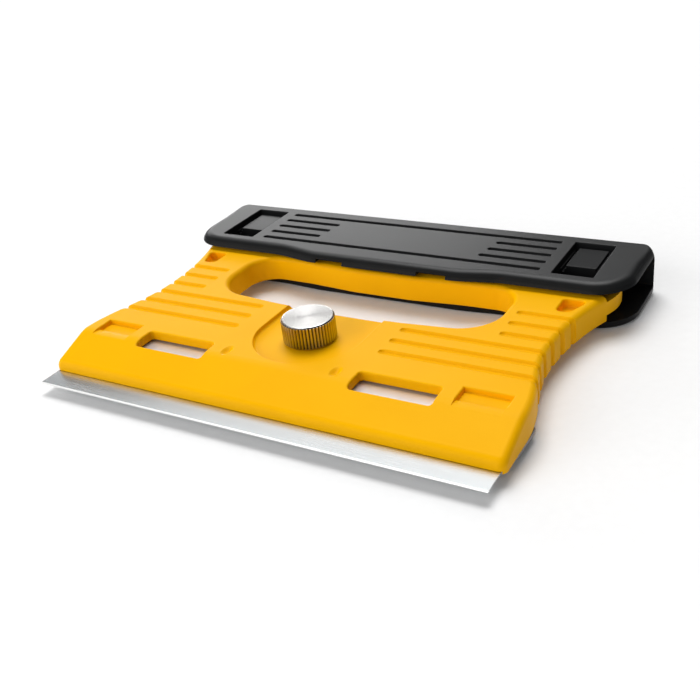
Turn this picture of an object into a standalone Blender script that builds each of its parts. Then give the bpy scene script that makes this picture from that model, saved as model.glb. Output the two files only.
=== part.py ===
"""Window scraper: moulded body with hand hole, blade, screw clamp and clip-on blade cover.

Sizes are in millimetres. x runs along the blade, y back from the cutting edge, z up from the cover's
underside. Finished pieces are moved so that the middle of the whole length lies at y = 0.
"""
import math

import bmesh
import bpy
from mathutils import Vector

MM = 0.001

# Blade
BLADE_WIDTH = 150.0
BLADE_DEPTH = 20.0
BLADE_THICK = 0.6
BLADE_SHOW = 8.0
HONED = 0.9
HONED_EDGE = 0.1

# Body
BODY_THICK = 8.8
CHEEK = 1.2
EDGE_ROUND = 2.0
UNDER_ROUND = 0.6
NOSE_HEIGHT = 3.5
BEVEL_RUN = 14.5
BEVEL_SOFT = 1.5
WAIST = 6.2
WAIST_ARC = 95.0
FRONT_CORNER = 2.4
HANDLE_CORNER = 18.0

# Hand hole and handle
HOLE_DEPTH = 30.8
HOLE_FRONT_CORNER = 13.0
HOLE_BACK_CORNER = 9.0
HOLE_RIM = 1.6
HOLE_BOW = 2.0
HOLE_FRONT_SWEEP = 60.0
HOLE_BACK_SWEEP = 30.0
HOLE_SETBACK = 15.8
HANDLE_DEPTH = 29.0
RAIL_THICK = 6.3
RAIL_STEP = 3.0
RAIL_LIFT = 0.2

# Knob, its pocket and the clamp screw
KNOB_RADIUS = 8.3
KNOB_HEIGHT = 7.6
KNOB_CHAMFER = 0.35
KNOB_SETBACK = 12.4
KNURL_TEETH = 54
KNURL_DEPTH = 0.3
POCKET_MARGIN = 9.2
POCKET_DEPTH = 1.5
POCKET_FILLET = 1.3
STUD_RADIUS = 3.0
STUD_SHOULDER = 1.4
STUD_SHOULDER_THICK = 0.8
STUD_CHAMFER = 0.6
STUD_COVERED = 2.25
WASHER_MARGIN = 1.8
WASHER_THICK = 0.75

# Clamp plate
PLATE_THICK = 0.9
PLATE_SHOW = 0.7
PLATE_SETBACK = 2.0
FOOT_LENGTH = 8.6
EAR_LENGTH = 13.4
PAD_LENGTH = 11.0
PAD_MARGIN = 1.5
PAD_CORNER = 2.0
PAD_BEND = 0.9
PIN_RADIUS = 1.5
PIN_ENTRY = 3.6
PIN_CHAMFER = 0.4

# Deck details
WINDOW_LENGTH = 8.4
WINDOW_AHEAD = 2.7
WINDOW_CORNER = 1.0
DIMPLE_LENGTH = 2.3
RECESS_LENGTH = 7.5
RECESS_DEPTH = 1.6
RECESS_RAMP = 0.9
RECESS_ENTRY = 0.45
WELL_DEPTH = 3.2
WELL_LENGTH = 8.2
WELL_GAP = 4.8
WELL_SLANT = 3.2
WELL_CORNER = 1.5
WELL_FILLET = 1.2
GROOVE_COUNT = 6
GROOVE_LONG = 3
GROOVE_LEAD = 17.8
GROOVE_TAIL = 4.1
GROOVE_RADIUS = 1.7
GROOVE_DEPTH = 0.75
RIB = 2.0
ROOF = 2.9
LOW_ROOF_SHARE = 0.48

# Cover
COVER_OVERHANG = 7.0
COVER_TOP_WALL = 2.8
COVER_LOW_WALL = 2.6
COVER_WEB = 3.0
COVER_LAND = 4.5
COVER_ROUND = 2.2
COVER_LOW_ROUND = 1.4
COVER_FRONT_CORNER = 13.0
COVER_BACK_CORNER = 3.5
COVER_SET = 2.8
COVER_PEEK = 1.2
COVER_SWEEP = 22.0
COVER_LOW_SETBACK = 2.6
COVER_GROOVE_PITCH = 5.43
COVER_GROOVE_COUNT = 5
COVER_GROOVE_WIDTH = 1.9
COVER_GROOVE_DEPTH = 0.8
COVER_WINDOW_LENGTH = 25.1
COVER_WINDOW_DEPTH = 2.4
COVER_WINDOW_CORNER = 0.5
COVER_SLOT = 9.0
SLOT_FLOOR = 0.8
MOAT_WIDTH = 1.3
MOAT_DEPTH = 1.2
NOTCH_HEIGHT = 0.8
NOTCH_DEPTH = 1.2

# Clearances
SLIDE_GAP = 0.1
FIT = 0.3
BED_GAP = 0.25
PAD_CLEAR = 0.6
UNDER_CLEAR = 0.4
LIP_CLEAR = 1.4
RAIL_BACK_GAP = 3.6
OVER = 1.0
HAIR = 0.05

# Facets
ARC_STEP = math.radians(11.5)
ROUND_STEPS = 4
SHARP_ANGLE = math.radians(32.0)
HALF_PI = math.pi / 2.0

# Heights, worked out from the underside of the cover
BODY_LOW = COVER_LOW_WALL + UNDER_CLEAR
BODY_TOP = BODY_LOW + BODY_THICK
COVER_INSIDE_TOP = BODY_TOP + LIP_CLEAR
COVER_TOP = COVER_INSIDE_TOP + COVER_TOP_WALL
PLATE_LOW = BODY_LOW - PLATE_SHOW
PLATE_TOP = PLATE_LOW + PLATE_THICK
PLATE_BED = PLATE_TOP + BED_GAP
BLADE_LOW = PLATE_TOP + SLIDE_GAP
BLADE_TOP = BLADE_LOW + BLADE_THICK
BLADE_BED = BLADE_TOP + SLIDE_GAP
RAIL_LOW = BODY_LOW + (BODY_THICK - RAIL_THICK) * RAIL_LIFT
RAIL_TOP = RAIL_LOW + RAIL_THICK
POCKET_FLOOR = BODY_TOP - POCKET_DEPTH
KNOB_LOW = POCKET_FLOOR + SLIDE_GAP
KNOB_TOP = KNOB_LOW + KNOB_HEIGHT
STUD_TIP = KNOB_TOP - STUD_COVERED
HOLLOW_ROOF = BODY_TOP - ROOF
PAD_TOP = HOLLOW_ROOF - PAD_CLEAR
LOW_ROOF = BODY_LOW + BODY_THICK * LOW_ROOF_SHARE

# Places along y, worked out from the cutting edge
BREAK_Y = BLADE_SHOW + BEVEL_RUN
HOLLOW_FRONT = BLADE_SHOW + FOOT_LENGTH
EAR_BACK = HOLLOW_FRONT + EAR_LENGTH
PAD_FRONT = BLADE_DEPTH + FIT
PAD_BACK = PAD_FRONT + PAD_LENGTH
KNOB_Y = EAR_BACK + KNOB_SETBACK
HOLE_FRONT = KNOB_Y + HOLE_SETBACK
HOLE_BACK = HOLE_FRONT + HOLE_DEPTH
WAIST_Y = HOLE_FRONT
HANDLE_BACK = HOLE_BACK + HANDLE_DEPTH
STEP_Y = HOLE_BACK + RAIL_STEP
COVER_BACK = HANDLE_BACK + RAIL_BACK_GAP + COVER_WEB
COVER_FRONT = HOLE_BACK - HOLE_BOW - COVER_PEEK
LENGTH = COVER_BACK
WINDOW_FRONT = BREAK_Y - WINDOW_AHEAD
WINDOW_BACK = WINDOW_FRONT + WINDOW_LENGTH
RECESS_BACK = BREAK_Y + RECESS_LENGTH
WELL_BACK = STEP_Y - WELL_GAP
WELL_FRONT = WELL_BACK - WELL_LENGTH
FIRST_GROOVE = HOLE_FRONT - GROOVE_LEAD
GROOVE_PITCH = (WELL_FRONT - GROOVE_TAIL - FIRST_GROOVE) / (GROOVE_COUNT - 1)
PIN_Y = EAR_BACK + PIN_RADIUS + FIT

# Places along x, worked out from the blade
BLADE_HALF = BLADE_WIDTH / 2.0
FRONT_HALF = BLADE_HALF + CHEEK
WAIST_HALF = FRONT_HALF - WAIST
COVER_HALF = FRONT_HALF + COVER_OVERHANG
HOLE_HALF = FRONT_HALF * 0.66
WINDOW_IN = FRONT_HALF * 0.335
WINDOW_OUT = FRONT_HALF * 0.672
PAD_IN = WINDOW_IN - PAD_MARGIN
PAD_OUT = WINDOW_OUT + PAD_MARGIN
RECESS_IN = FRONT_HALF * 0.739
RECESS_OUT = FRONT_HALF * 0.924
DIMPLE_X = FRONT_HALF * 0.25
LONG_GROOVE_IN = FRONT_HALF * 0.33
SHORT_GROOVE_IN = FRONT_HALF * 0.71
WELL_IN = FRONT_HALF * 0.846
WELL_OUT = FRONT_HALF * 0.943
PIN_X = FRONT_HALF * 0.79
COVER_WINDOW_IN = FRONT_HALF * 0.755
COVER_WINDOW_OUT = FRONT_HALF * 0.932
COVER_GROOVE_OUT = FRONT_HALF * 0.70
COVER_GROOVE_IN = FRONT_HALF * 0.41
COVER_FORWARD_HALF = FRONT_HALF * 0.37
COVER_STEPPED_HALF = FRONT_HALF * 0.55
NOTCH_IN = FRONT_HALF * 0.187
NOTCH_OUT = FRONT_HALF * 0.327
POCKET_RADIUS = KNOB_RADIUS + POCKET_MARGIN


def clear_scene():
    """Remove every object that the file starts with."""
    for old in list(bpy.data.objects):
        bpy.data.objects.remove(old, do_unlink=True)


def finish_material(name, colour, roughness, metallic):
    """Principled material with one colour."""
    material = bpy.data.materials.new(name)
    material.use_nodes = True
    shader = material.node_tree.nodes["Principled BSDF"]
    shader.inputs["Base Color"].default_value = (*colour, 1.0)
    shader.inputs["Roughness"].default_value = roughness
    shader.inputs["Metallic"].default_value = metallic
    material.diffuse_color = (*colour, 1.0)
    return material


def fillet(corners):
    """Closed outline through (x, y, radius) corners, each rounded by an arc."""
    outline = []
    for index, (x, y, radius) in enumerate(corners):
        point = Vector((x, y))
        into = (point - Vector(corners[index - 1][:2])).normalized()
        away = (Vector(corners[(index + 1) % len(corners)][:2]) - point).normalized()
        turn = math.atan2(into.x * away.y - into.y * away.x, into.dot(away))
        if radius == 0.0 or abs(turn) < 1e-6:
            outline.append(point)
            continue
        start = point - into * (radius * math.tan(abs(turn) / 2.0))
        centre = start + Vector((-into.y, into.x)) * math.copysign(radius, turn)
        steps = max(1, math.ceil(abs(turn) / ARC_STEP))
        for step in range(steps + 1):
            angle = turn * step / steps
            arm = start - centre
            swung = (arm.x * math.cos(angle) - arm.y * math.sin(angle),
                     arm.x * math.sin(angle) + arm.y * math.cos(angle))
            outline.append(centre + Vector(swung))
    return outline


def mirrored(half):
    """Whole corner list from the right-hand half, given from front to back."""
    return half + [(-x, y, radius) for x, y, radius in reversed(half)]


def rectangle(x_low, x_high, y_low, y_high, radius):
    """Outline of a rectangle with rounded corners."""
    return fillet([(x_low, y_low, radius), (x_high, y_low, radius),
                   (x_high, y_high, radius), (x_low, y_high, radius)])


def circle(x, y, radius, count=32):
    """Outline of a circle."""
    turns = [2.0 * math.pi * step / count for step in range(count)]
    return [Vector((x + radius * math.cos(turn), y + radius * math.sin(turn))) for turn in turns]


def inset(outline, distance):
    """Outline moved inwards by a distance, or outwards when it is negative."""
    moved = []
    for index, point in enumerate(outline):
        into = (point - outline[index - 1]).normalized()
        away = (outline[(index + 1) % len(outline)] - point).normalized()
        normal = Vector((-into.y - away.y, into.x + away.x))
        moved.append(point + normal * (distance / (1.0 + into.dot(away))))
    return moved


def level(outline, z):
    """Outline lifted to a height."""
    return [(point.x, point.y, z) for point in outline]


def slab_rings(outline, low, high, top_round=0.0, low_round=0.0, over=0.0):
    """Rings of a slab with rounded rims; a negative radius flares the rim outwards."""
    rings = []
    if over:
        rings.append(level(inset(outline, low_round), low - over))
    if low_round:
        for step in range(ROUND_STEPS):
            turn = HALF_PI * step / ROUND_STEPS
            shrunk = inset(outline, low_round * (1.0 - math.sin(turn)))
            rings.append(level(shrunk, low + abs(low_round) * (1.0 - math.cos(turn))))
    rings.append(level(outline, low + abs(low_round)))
    rings.append(level(outline, high - abs(top_round)))
    if top_round:
        for step in range(1, ROUND_STEPS + 1):
            turn = HALF_PI * step / ROUND_STEPS
            shrunk = inset(outline, top_round * (1.0 - math.cos(turn)))
            rings.append(level(shrunk, high - abs(top_round) * (1.0 - math.sin(turn))))
    if over:
        rings.append(level(inset(outline, top_round), high + over))
    return rings


def loft(name, rings):
    """Closed object skinned over rings of equal length, with flat ends."""
    build = bmesh.new()
    rows = [[build.verts.new(Vector(point) * MM) for point in ring] for ring in rings]
    count = len(rings[0])
    for lower, upper in zip(rows, rows[1:]):
        for index in range(count):
            following = (index + 1) % count
            build.faces.new((lower[index], lower[following], upper[following], upper[index]))
    build.faces.new(list(reversed(rows[0])))
    build.faces.new(rows[-1])
    bmesh.ops.recalc_face_normals(build, faces=build.faces)
    mesh = bpy.data.meshes.new(name)
    build.to_mesh(mesh)
    build.free()
    piece = bpy.data.objects.new(name, mesh)
    bpy.context.scene.collection.objects.link(piece)
    return piece


def slab(name, outline, low, high, top_round=0.0, low_round=0.0, over=0.0):
    """Slab with a plan outline and rounded or flared rims."""
    return loft(name, slab_rings(outline, low, high, top_round, low_round, over))


def section_bar(name, section, x_low, x_high):
    """Bar with a (y, z) section, running along x."""
    return loft(name, [[(x, y, z) for y, z in section] for x in (x_low, x_high)])


def revolved(name, profile, x, y, count=48):
    """Solid turned about a vertical axis from (radius, z) points, lowest first."""
    return loft(name, [level(circle(x, y, radius, count), z) for radius, z in profile])


def cut(piece, cutters):
    """Take cutters that stand clear of each other away from a piece, in one Boolean."""
    build = bmesh.new()
    for cutter in cutters:
        build.from_mesh(cutter.data)
    joined = cutters[0]
    build.to_mesh(joined.data)
    build.free()
    for spare in cutters[1:]:
        bpy.data.objects.remove(spare, do_unlink=True)
    joined.hide_render = True
    joined.display_type = "WIRE"
    step = piece.modifiers.new(joined.name, "BOOLEAN")
    step.operation = "DIFFERENCE"
    step.solver = "EXACT"
    step.object = joined


def settled(piece):
    """Piece with its Booleans worked into its mesh and their cutters dropped."""
    depsgraph = bpy.context.evaluated_depsgraph_get()
    solid = bpy.data.meshes.new_from_object(piece.evaluated_get(depsgraph))
    used = [step.object for step in piece.modifiers]
    piece.modifiers.clear()
    piece.data = solid
    for old in used:
        bpy.data.objects.remove(old, do_unlink=True)
    return piece


def complete(piece, material, origin):
    """Settle a piece, and set its material, shading and origin."""
    solid = settled(piece).data
    anchor = Vector(origin) * MM
    for vertex in solid.vertices:
        vertex.co -= anchor
    piece.location = anchor - Vector((0.0, LENGTH / 2.0 * MM, 0.0))
    solid.name = piece.name
    solid.materials.clear()
    solid.materials.append(material)
    for face in solid.polygons:
        face.material_index = 0
    solid.shade_smooth()
    solid.set_sharp_from_angle(angle=SHARP_ANGLE)


def side_half(y):
    """Half width of the body: straight beside the blade, drawn in to the waist, then an arc outwards."""
    if y <= BREAK_Y:
        return FRONT_HALF
    if y <= WAIST_Y:
        share = (y - BREAK_Y) / (WAIST_Y - BREAK_Y)
        return FRONT_HALF - WAIST * (1.0 - math.cos(math.pi * share)) / 2.0
    return WAIST_HALF + WAIST_ARC - math.sqrt(WAIST_ARC ** 2 - (y - WAIST_Y) ** 2)


def body_outline():
    """Plan outline of the body with rounded nose ends and handle corners."""
    samples = 22
    straight = BLADE_SHOW + FRONT_CORNER * 2.0
    last = HANDLE_BACK - HANDLE_CORNER * 1.45
    half = [(FRONT_HALF, BLADE_SHOW, FRONT_CORNER), (FRONT_HALF, straight, 0.0)]
    for step in range(samples + 1):
        y = BREAK_Y + (last - BREAK_Y) * step / samples
        half.append((side_half(y), y, 0.0))
    slope = (side_half(last) - side_half(last - 1.0))
    half.append((side_half(last) + slope * (HANDLE_BACK - last), HANDLE_BACK, HANDLE_CORNER))
    return fillet(mirrored(half))


def deck_height(y):
    """Height of the body's upper side over its underside: sloped nose, soft break, flat deck."""
    slope = (BODY_THICK - NOSE_HEIGHT) / BEVEL_RUN
    ahead = BREAK_Y - y
    if ahead <= -BEVEL_SOFT:
        return BODY_THICK
    if ahead >= BEVEL_SOFT:
        return BODY_THICK - slope * ahead
    return BODY_THICK - slope * (ahead + BEVEL_SOFT) ** 2 / (4.0 * BEVEL_SOFT)


def drawn_down(above, y):
    """Height over the underside after the front is drawn down; the rounded upper edge keeps its radius."""
    deck = deck_height(y)
    wall = BODY_THICK - EDGE_ROUND
    if above >= wall:
        return deck - (BODY_THICK - above)
    return above * (deck - EDGE_ROUND) / wall


def body_blank():
    """Body slab with rounded rims, its front drawn down to the nose."""
    blank = slab("body", body_outline(), BODY_LOW, BODY_TOP, EDGE_ROUND, UNDER_ROUND)
    build = bmesh.new()
    build.from_mesh(blank.data)
    for share in (-1.0, -0.33, 0.33, 1.0):
        bmesh.ops.bisect_plane(build, geom=build.verts[:] + build.edges[:] + build.faces[:],
                               plane_co=(0.0, (BREAK_Y + share * BEVEL_SOFT) * MM, 0.0),
                               plane_no=(0.0, 1.0, 0.0))
    for vertex in build.verts:
        above = vertex.co.z / MM - BODY_LOW
        vertex.co.z = (BODY_LOW + drawn_down(above, vertex.co.y / MM)) * MM
    build.to_mesh(blank.data)
    build.free()
    return blank


def hand_hole():
    """Cutter for the hand hole, with flared rims."""
    half = [(HOLE_HALF * 0.4, HOLE_FRONT, HOLE_FRONT_SWEEP),
            (HOLE_HALF, HOLE_FRONT + HOLE_DEPTH * 0.1, HOLE_FRONT_CORNER),
            (HOLE_HALF, HOLE_BACK, HOLE_BACK_CORNER),
            (HOLE_HALF * 0.58, HOLE_BACK - HOLE_BOW * 0.2, HOLE_BACK_SWEEP),
            (HOLE_HALF * 0.22, HOLE_BACK - HOLE_BOW, HOLE_BACK_SWEEP)]
    return slab("hand_hole", fillet(mirrored(half)), BODY_LOW, BODY_TOP, -HOLE_RIM, -HOLE_RIM * 0.6, OVER)


def knob_pocket():
    """Cutter for the dished pocket round the knob, open to the hand hole."""
    front = KNOB_Y - POCKET_RADIUS
    back = HOLE_FRONT + HOLE_DEPTH * 0.2
    outline = fillet([(POCKET_RADIUS, front, POCKET_RADIUS - HAIR), (POCKET_RADIUS, back, 0.0),
                      (-POCKET_RADIUS, back, 0.0), (-POCKET_RADIUS, front, POCKET_RADIUS - HAIR)])
    return slab("knob_pocket", outline, POCKET_FLOOR, BODY_TOP + OVER, 0.0, POCKET_FILLET)


def grip_groove(side, y, x_in):
    """Round cutter that runs along the deck, over the rounded edge and down the side wall."""
    lift = GROOVE_RADIUS - GROOVE_DEPTH
    bend = EDGE_ROUND + lift
    wall = side_half(y)
    pivot = Vector((wall - EDGE_ROUND, BODY_TOP - EDGE_ROUND))
    path = []
    for step in range(3):
        turn = HALF_PI * (step + 0.4) / 3.0
        path.append((Vector((x_in + GROOVE_RADIUS * (1.0 - math.cos(turn)), BODY_TOP + lift)),
                     HALF_PI, GROOVE_RADIUS * math.sin(turn)))
    for step in range(7):
        tilt = HALF_PI * (1.0 - step / 6.0)
        arm = Vector((math.cos(tilt), math.sin(tilt))) * bend
        path.append((pivot + arm, tilt, GROOVE_RADIUS))
    path.append((Vector((wall + lift, BODY_LOW - OVER)), 0.0, GROOVE_RADIUS))
    sides = 12
    rings = []
    for centre, tilt, radius in path:
        ring = []
        for index in range(sides):
            turn = 2.0 * math.pi * index / sides
            out = radius * math.cos(turn)
            ring.append((side * (centre.x + out * math.cos(tilt)), y + radius * math.sin(turn),
                         centre.y + out * math.sin(tilt)))
        rings.append(ring)
    return loft("grip_groove", rings)


def finger_recess(side):
    """Cutter for the recess outside a window: a ramp at the front that drops to a deeper floor."""
    floor = BODY_TOP - RECESS_DEPTH
    front = BREAK_Y - BEVEL_RUN * 0.1
    drop = RECESS_BACK - (RECESS_BACK - front) * 0.6
    section = [(RECESS_BACK, floor), (RECESS_BACK, BODY_TOP + OVER), (front, BODY_TOP + OVER),
               (front, BODY_TOP - RECESS_ENTRY), (drop, BODY_TOP - RECESS_RAMP), (drop, floor)]
    ends = sorted((side * RECESS_IN, side * RECESS_OUT))
    return section_bar("finger_recess", section, *ends)


def dimple(side):
    """Cutter for the small scoop inboard of a window."""
    width = DIMPLE_LENGTH * 0.6
    depth = width * 0.55
    centre_y = BREAK_Y + DIMPLE_LENGTH
    rings = []
    for step in range(1, 8):
        turn = math.pi * step / 8.0
        spread = math.sin(turn)
        ring = [(point.x * width * spread + side * DIMPLE_X, point.y * DIMPLE_LENGTH * spread + centre_y,
                 BODY_TOP - depth * math.cos(turn)) for point in circle(0.0, 0.0, 1.0, 14)]
        rings.append(ring)
    return loft("dimple", rings)


def handle_well(side):
    """Cutter for the four-sided well beside the handle."""
    corners = [(WELL_IN, WELL_FRONT, WELL_CORNER), (WELL_OUT - WELL_SLANT, WELL_FRONT, WELL_CORNER),
               (WELL_OUT, WELL_BACK, WELL_CORNER), (WELL_IN, WELL_BACK, WELL_CORNER)]
    if side < 0:
        corners = [(-x, y, radius) for x, y, radius in reversed(corners)]
    return slab("handle_well", fillet(corners), BODY_TOP - WELL_DEPTH, BODY_TOP + OVER, 0.0, WELL_FILLET)


def window(side):
    """Cutter for a deck window."""
    ends = sorted((side * WINDOW_IN, side * WINDOW_OUT))
    outline = rectangle(*ends, WINDOW_FRONT, WINDOW_BACK, WINDOW_CORNER)
    return slab("window", outline, HOLLOW_ROOF - OVER, BODY_TOP + OVER)


def hollow(side, x_near, x_far, front, rear, roof):
    """Cutter for one core-out in the underside."""
    ends = sorted((side * x_near, side * x_far))
    return slab("hollow", rectangle(*ends, front, rear, WINDOW_CORNER), BODY_LOW - OVER, roof)


def hollows():
    """Cutters for the low core-outs over the blade, parted by ribs from the bays of the pads."""
    half_rib = RIB / 2.0
    bays = ((half_rib, PAD_IN - PAD_CLEAR - RIB), (PAD_OUT + PAD_CLEAR + RIB, FRONT_HALF - CHEEK * 2.7))
    return [hollow(side, near, far, HOLLOW_FRONT, WINDOW_BACK - OVER, LOW_ROOF)
            for side in (1.0, -1.0) for near, far in bays]


def pad_bays():
    """Cutters for the taller core-outs that the pads of the clamp plate stand in."""
    return [hollow(side, PAD_IN - PAD_CLEAR, PAD_OUT + PAD_CLEAR, PAD_FRONT - PAD_CLEAR, PAD_BACK + PAD_CLEAR,
                   HOLLOW_ROOF) for side in (1.0, -1.0)]


def plate_outline():
    """Plan outline of the clamp plate: ears beside the blade and a tongue under the knob."""
    front = BLADE_SHOW + PLATE_SETBACK
    neck = BLADE_HALF - FIT * 1.4
    ear = FRONT_HALF - SLIDE_GAP
    tongue = STUD_RADIUS * 4.2
    half = [(neck, front, 1.0), (neck, HOLLOW_FRONT, 0.0), (ear, HOLLOW_FRONT, 0.6),
            (ear, EAR_BACK, 1.5), (PIN_X + PIN_RADIUS * 3.5, PIN_Y + PIN_RADIUS * 2.6, 4.0),
            (tongue, PIN_Y + PIN_RADIUS * 4.6, 5.0), (tongue, KNOB_Y + STUD_RADIUS * 3.2, 9.0)]
    return fillet(mirrored(half))


def clamp_hole():
    """Stepped cutter for the stud, with a seat for the washer above and one for the shoulder below."""
    washer_seat = KNOB_RADIUS - WASHER_MARGIN + FIT
    shoulder_seat = STUD_RADIUS + STUD_SHOULDER + FIT
    bore = STUD_RADIUS + FIT
    shoulder_top = PLATE_TOP + STUD_SHOULDER_THICK + FIT
    washer_low = POCKET_FLOOR - WASHER_THICK - SLIDE_GAP
    profile = [(shoulder_seat, BODY_LOW - OVER), (shoulder_seat, shoulder_top), (bore, shoulder_top),
               (bore, washer_low), (washer_seat, washer_low), (washer_seat, BODY_TOP + OVER)]
    return revolved("clamp_hole", profile, 0.0, KNOB_Y, 32)


def deck_details():
    """Every cutter that opens in the deck or the side walls, both sides."""
    cutters = []
    for side in (1.0, -1.0):
        cutters += [window(side), finger_recess(side), dimple(side), handle_well(side)]
        for index in range(GROOVE_COUNT):
            x_in = LONG_GROOVE_IN if index < GROOVE_LONG else SHORT_GROOVE_IN
            cutters.append(grip_groove(side, FIRST_GROOVE + GROOVE_PITCH * index, x_in))
    return cutters


def body(material):
    """Yellow moulding."""
    piece = body_blank()
    cut(piece, [hand_hole()])
    cut(piece, [knob_pocket()])
    rail_edge = COVER_HALF + OVER
    rebates = [slab(name, rectangle(-rail_edge, rail_edge, STEP_Y, HANDLE_BACK + OVER, 0.0), low, high)
               for name, low, high in (("rebate_top", RAIL_TOP, BODY_TOP + OVER),
                                       ("rebate_low", BODY_LOW - OVER, RAIL_LOW))]
    cut(piece, rebates)
    cut(piece, [slab("blade_bed", rectangle(-BLADE_HALF - FIT, BLADE_HALF + FIT, BLADE_SHOW - OVER * 3.0,
                                            BLADE_DEPTH + FIT, 0.0), BODY_LOW - OVER, BLADE_BED)])
    cut(piece, [slab("plate_bed", inset(plate_outline(), -FIT * 1.5), BODY_LOW - OVER, PLATE_BED)])
    cut(piece, hollows())
    cut(piece, pad_bays())
    pin_top = PLATE_TOP + PIN_ENTRY + FIT
    cut(piece, [clamp_hole()] + [slab("pin_hole", circle(side * PIN_X, PIN_Y, PIN_RADIUS + FIT, 20),
                                      BODY_LOW - OVER, pin_top) for side in (1.0, -1.0)])
    cut(piece, deck_details())
    complete(piece, material, (0.0, LENGTH / 2.0, BODY_LOW))


def blade(material):
    """Stainless strip, honed along the front."""
    section = [(0.0, BLADE_LOW), (BLADE_DEPTH, BLADE_LOW), (BLADE_DEPTH, BLADE_TOP), (HONED, BLADE_TOP),
               (0.0, BLADE_LOW + HONED_EDGE)]
    piece = section_bar("blade", section, -BLADE_HALF, BLADE_HALF)
    complete(piece, material, (0.0, BLADE_SHOW, BLADE_LOW))


def pad_outline(side):
    """Plan outline of a raised pad, which shows through the deck window over it."""
    ends = sorted((side * PAD_IN, side * PAD_OUT))
    return rectangle(*ends, PAD_FRONT, PAD_BACK, PAD_CORNER)


def clamp_plate(material):
    """Pressed steel plate that clamps the blade from below; its raised pads stop the blade's back edge."""
    piece = slab("clamp_plate", plate_outline(), PLATE_LOW, PAD_TOP + HAIR)
    reach = FRONT_HALF + OVER
    waste = slab("waste", rectangle(-reach, reach, BLADE_SHOW, HOLE_FRONT, 0.0), PLATE_TOP, PAD_TOP + OVER)
    pads, cores = [], []
    for side in (1.0, -1.0):
        outline = pad_outline(side)
        pads.append(slab("pad", outline, PLATE_TOP - OVER, PAD_TOP, PAD_BEND))
        cores.append(slab("pad_core", inset(outline, PLATE_THICK), PLATE_LOW - OVER, PAD_TOP - PLATE_THICK))
    cut(waste, pads)
    cut(piece, [settled(waste)])
    holes = ((0.0, KNOB_Y, STUD_RADIUS), (PIN_X, PIN_Y, PIN_RADIUS), (-PIN_X, PIN_Y, PIN_RADIUS))
    cut(piece, cores + [slab("hole", circle(x, y, radius + SLIDE_GAP, 40), PLATE_LOW - OVER, PLATE_TOP + OVER)
                        for x, y, radius in holes])
    complete(piece, material, (0.0, KNOB_Y, PLATE_LOW))


def clamp_stud(material):
    """Shouldered stud riveted into the clamp plate."""
    shoulder_low = PLATE_TOP + SLIDE_GAP
    shoulder_top = shoulder_low + STUD_SHOULDER_THICK - SLIDE_GAP
    shoulder = STUD_RADIUS + STUD_SHOULDER
    profile = [(STUD_RADIUS, PLATE_LOW), (STUD_RADIUS, shoulder_low), (shoulder, shoulder_low),
               (shoulder, shoulder_top), (STUD_RADIUS, shoulder_top), (STUD_RADIUS, STUD_TIP - STUD_CHAMFER),
               (STUD_RADIUS - STUD_CHAMFER, STUD_TIP)]
    piece = revolved("clamp_stud", profile, 0.0, KNOB_Y, 40)
    complete(piece, material, (0.0, KNOB_Y, PLATE_LOW))


def guide_pin(name, side, material):
    """Dowel in the clamp plate that enters a blind hole in the body."""
    tip = PLATE_TOP + PIN_ENTRY
    profile = [(PIN_RADIUS, PLATE_LOW), (PIN_RADIUS, tip - PIN_CHAMFER), (PIN_RADIUS - PIN_CHAMFER, tip)]
    piece = revolved(name, profile, side * PIN_X, PIN_Y, 24)
    complete(piece, material, (side * PIN_X, PIN_Y, PLATE_LOW))


def knob(material):
    """Thumb nut with a straight knurl and a blind bore."""
    count = KNURL_TEETH * 2

    def knurled(shrink):
        points = []
        for index in range(count):
            radius = KNOB_RADIUS - shrink - (KNURL_DEPTH if index % 2 else 0.0)
            turn = 2.0 * math.pi * index / count
            points.append(Vector((radius * math.cos(turn), KNOB_Y + radius * math.sin(turn))))
        return points

    rim = circle(0.0, KNOB_Y, KNOB_RADIUS - KNOB_CHAMFER - KNURL_DEPTH, count)
    rings = [level(rim, KNOB_LOW), level(knurled(0.0), KNOB_LOW + KNOB_CHAMFER),
             level(knurled(0.0), KNOB_TOP - KNOB_CHAMFER), level(rim, KNOB_TOP)]
    piece = loft("knob", rings)
    cut(piece, [slab("bore", circle(0.0, KNOB_Y, STUD_RADIUS + FIT), KNOB_LOW - OVER, STUD_TIP + FIT)])
    complete(piece, material, (0.0, KNOB_Y, KNOB_LOW))


def knob_washer(material):
    """Flat washer let into the pocket floor."""
    low = POCKET_FLOOR - WASHER_THICK
    piece = slab("knob_washer", circle(0.0, KNOB_Y, KNOB_RADIUS - WASHER_MARGIN), low, POCKET_FLOOR)
    cut(piece, [slab("bore", circle(0.0, KNOB_Y, STUD_RADIUS + FIT), low - OVER, POCKET_FLOOR + OVER)])
    complete(piece, material, (0.0, KNOB_Y, low))


def cover_outline(setback):
    """Plan outline of the cover; the middle of its front edge stands forward in an S-curve."""
    front = COVER_FRONT + setback
    stepped = front + COVER_SET
    half = [(COVER_FORWARD_HALF, front, COVER_SWEEP), (COVER_STEPPED_HALF, stepped, COVER_SWEEP),
            (COVER_HALF, stepped, COVER_FRONT_CORNER), (COVER_HALF, COVER_BACK, COVER_BACK_CORNER)]
    return fillet(mirrored(half))


def cover_groove(y, x_low, x_high):
    """Cutter for one groove in the cover's top."""
    outline = rectangle(x_low, x_high, y - COVER_GROOVE_WIDTH / 2.0, y + COVER_GROOVE_WIDTH / 2.0,
                        COVER_GROOVE_WIDTH * 0.4)
    return slab("cover_groove", outline, COVER_TOP - COVER_GROOVE_DEPTH, COVER_TOP + OVER)


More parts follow.
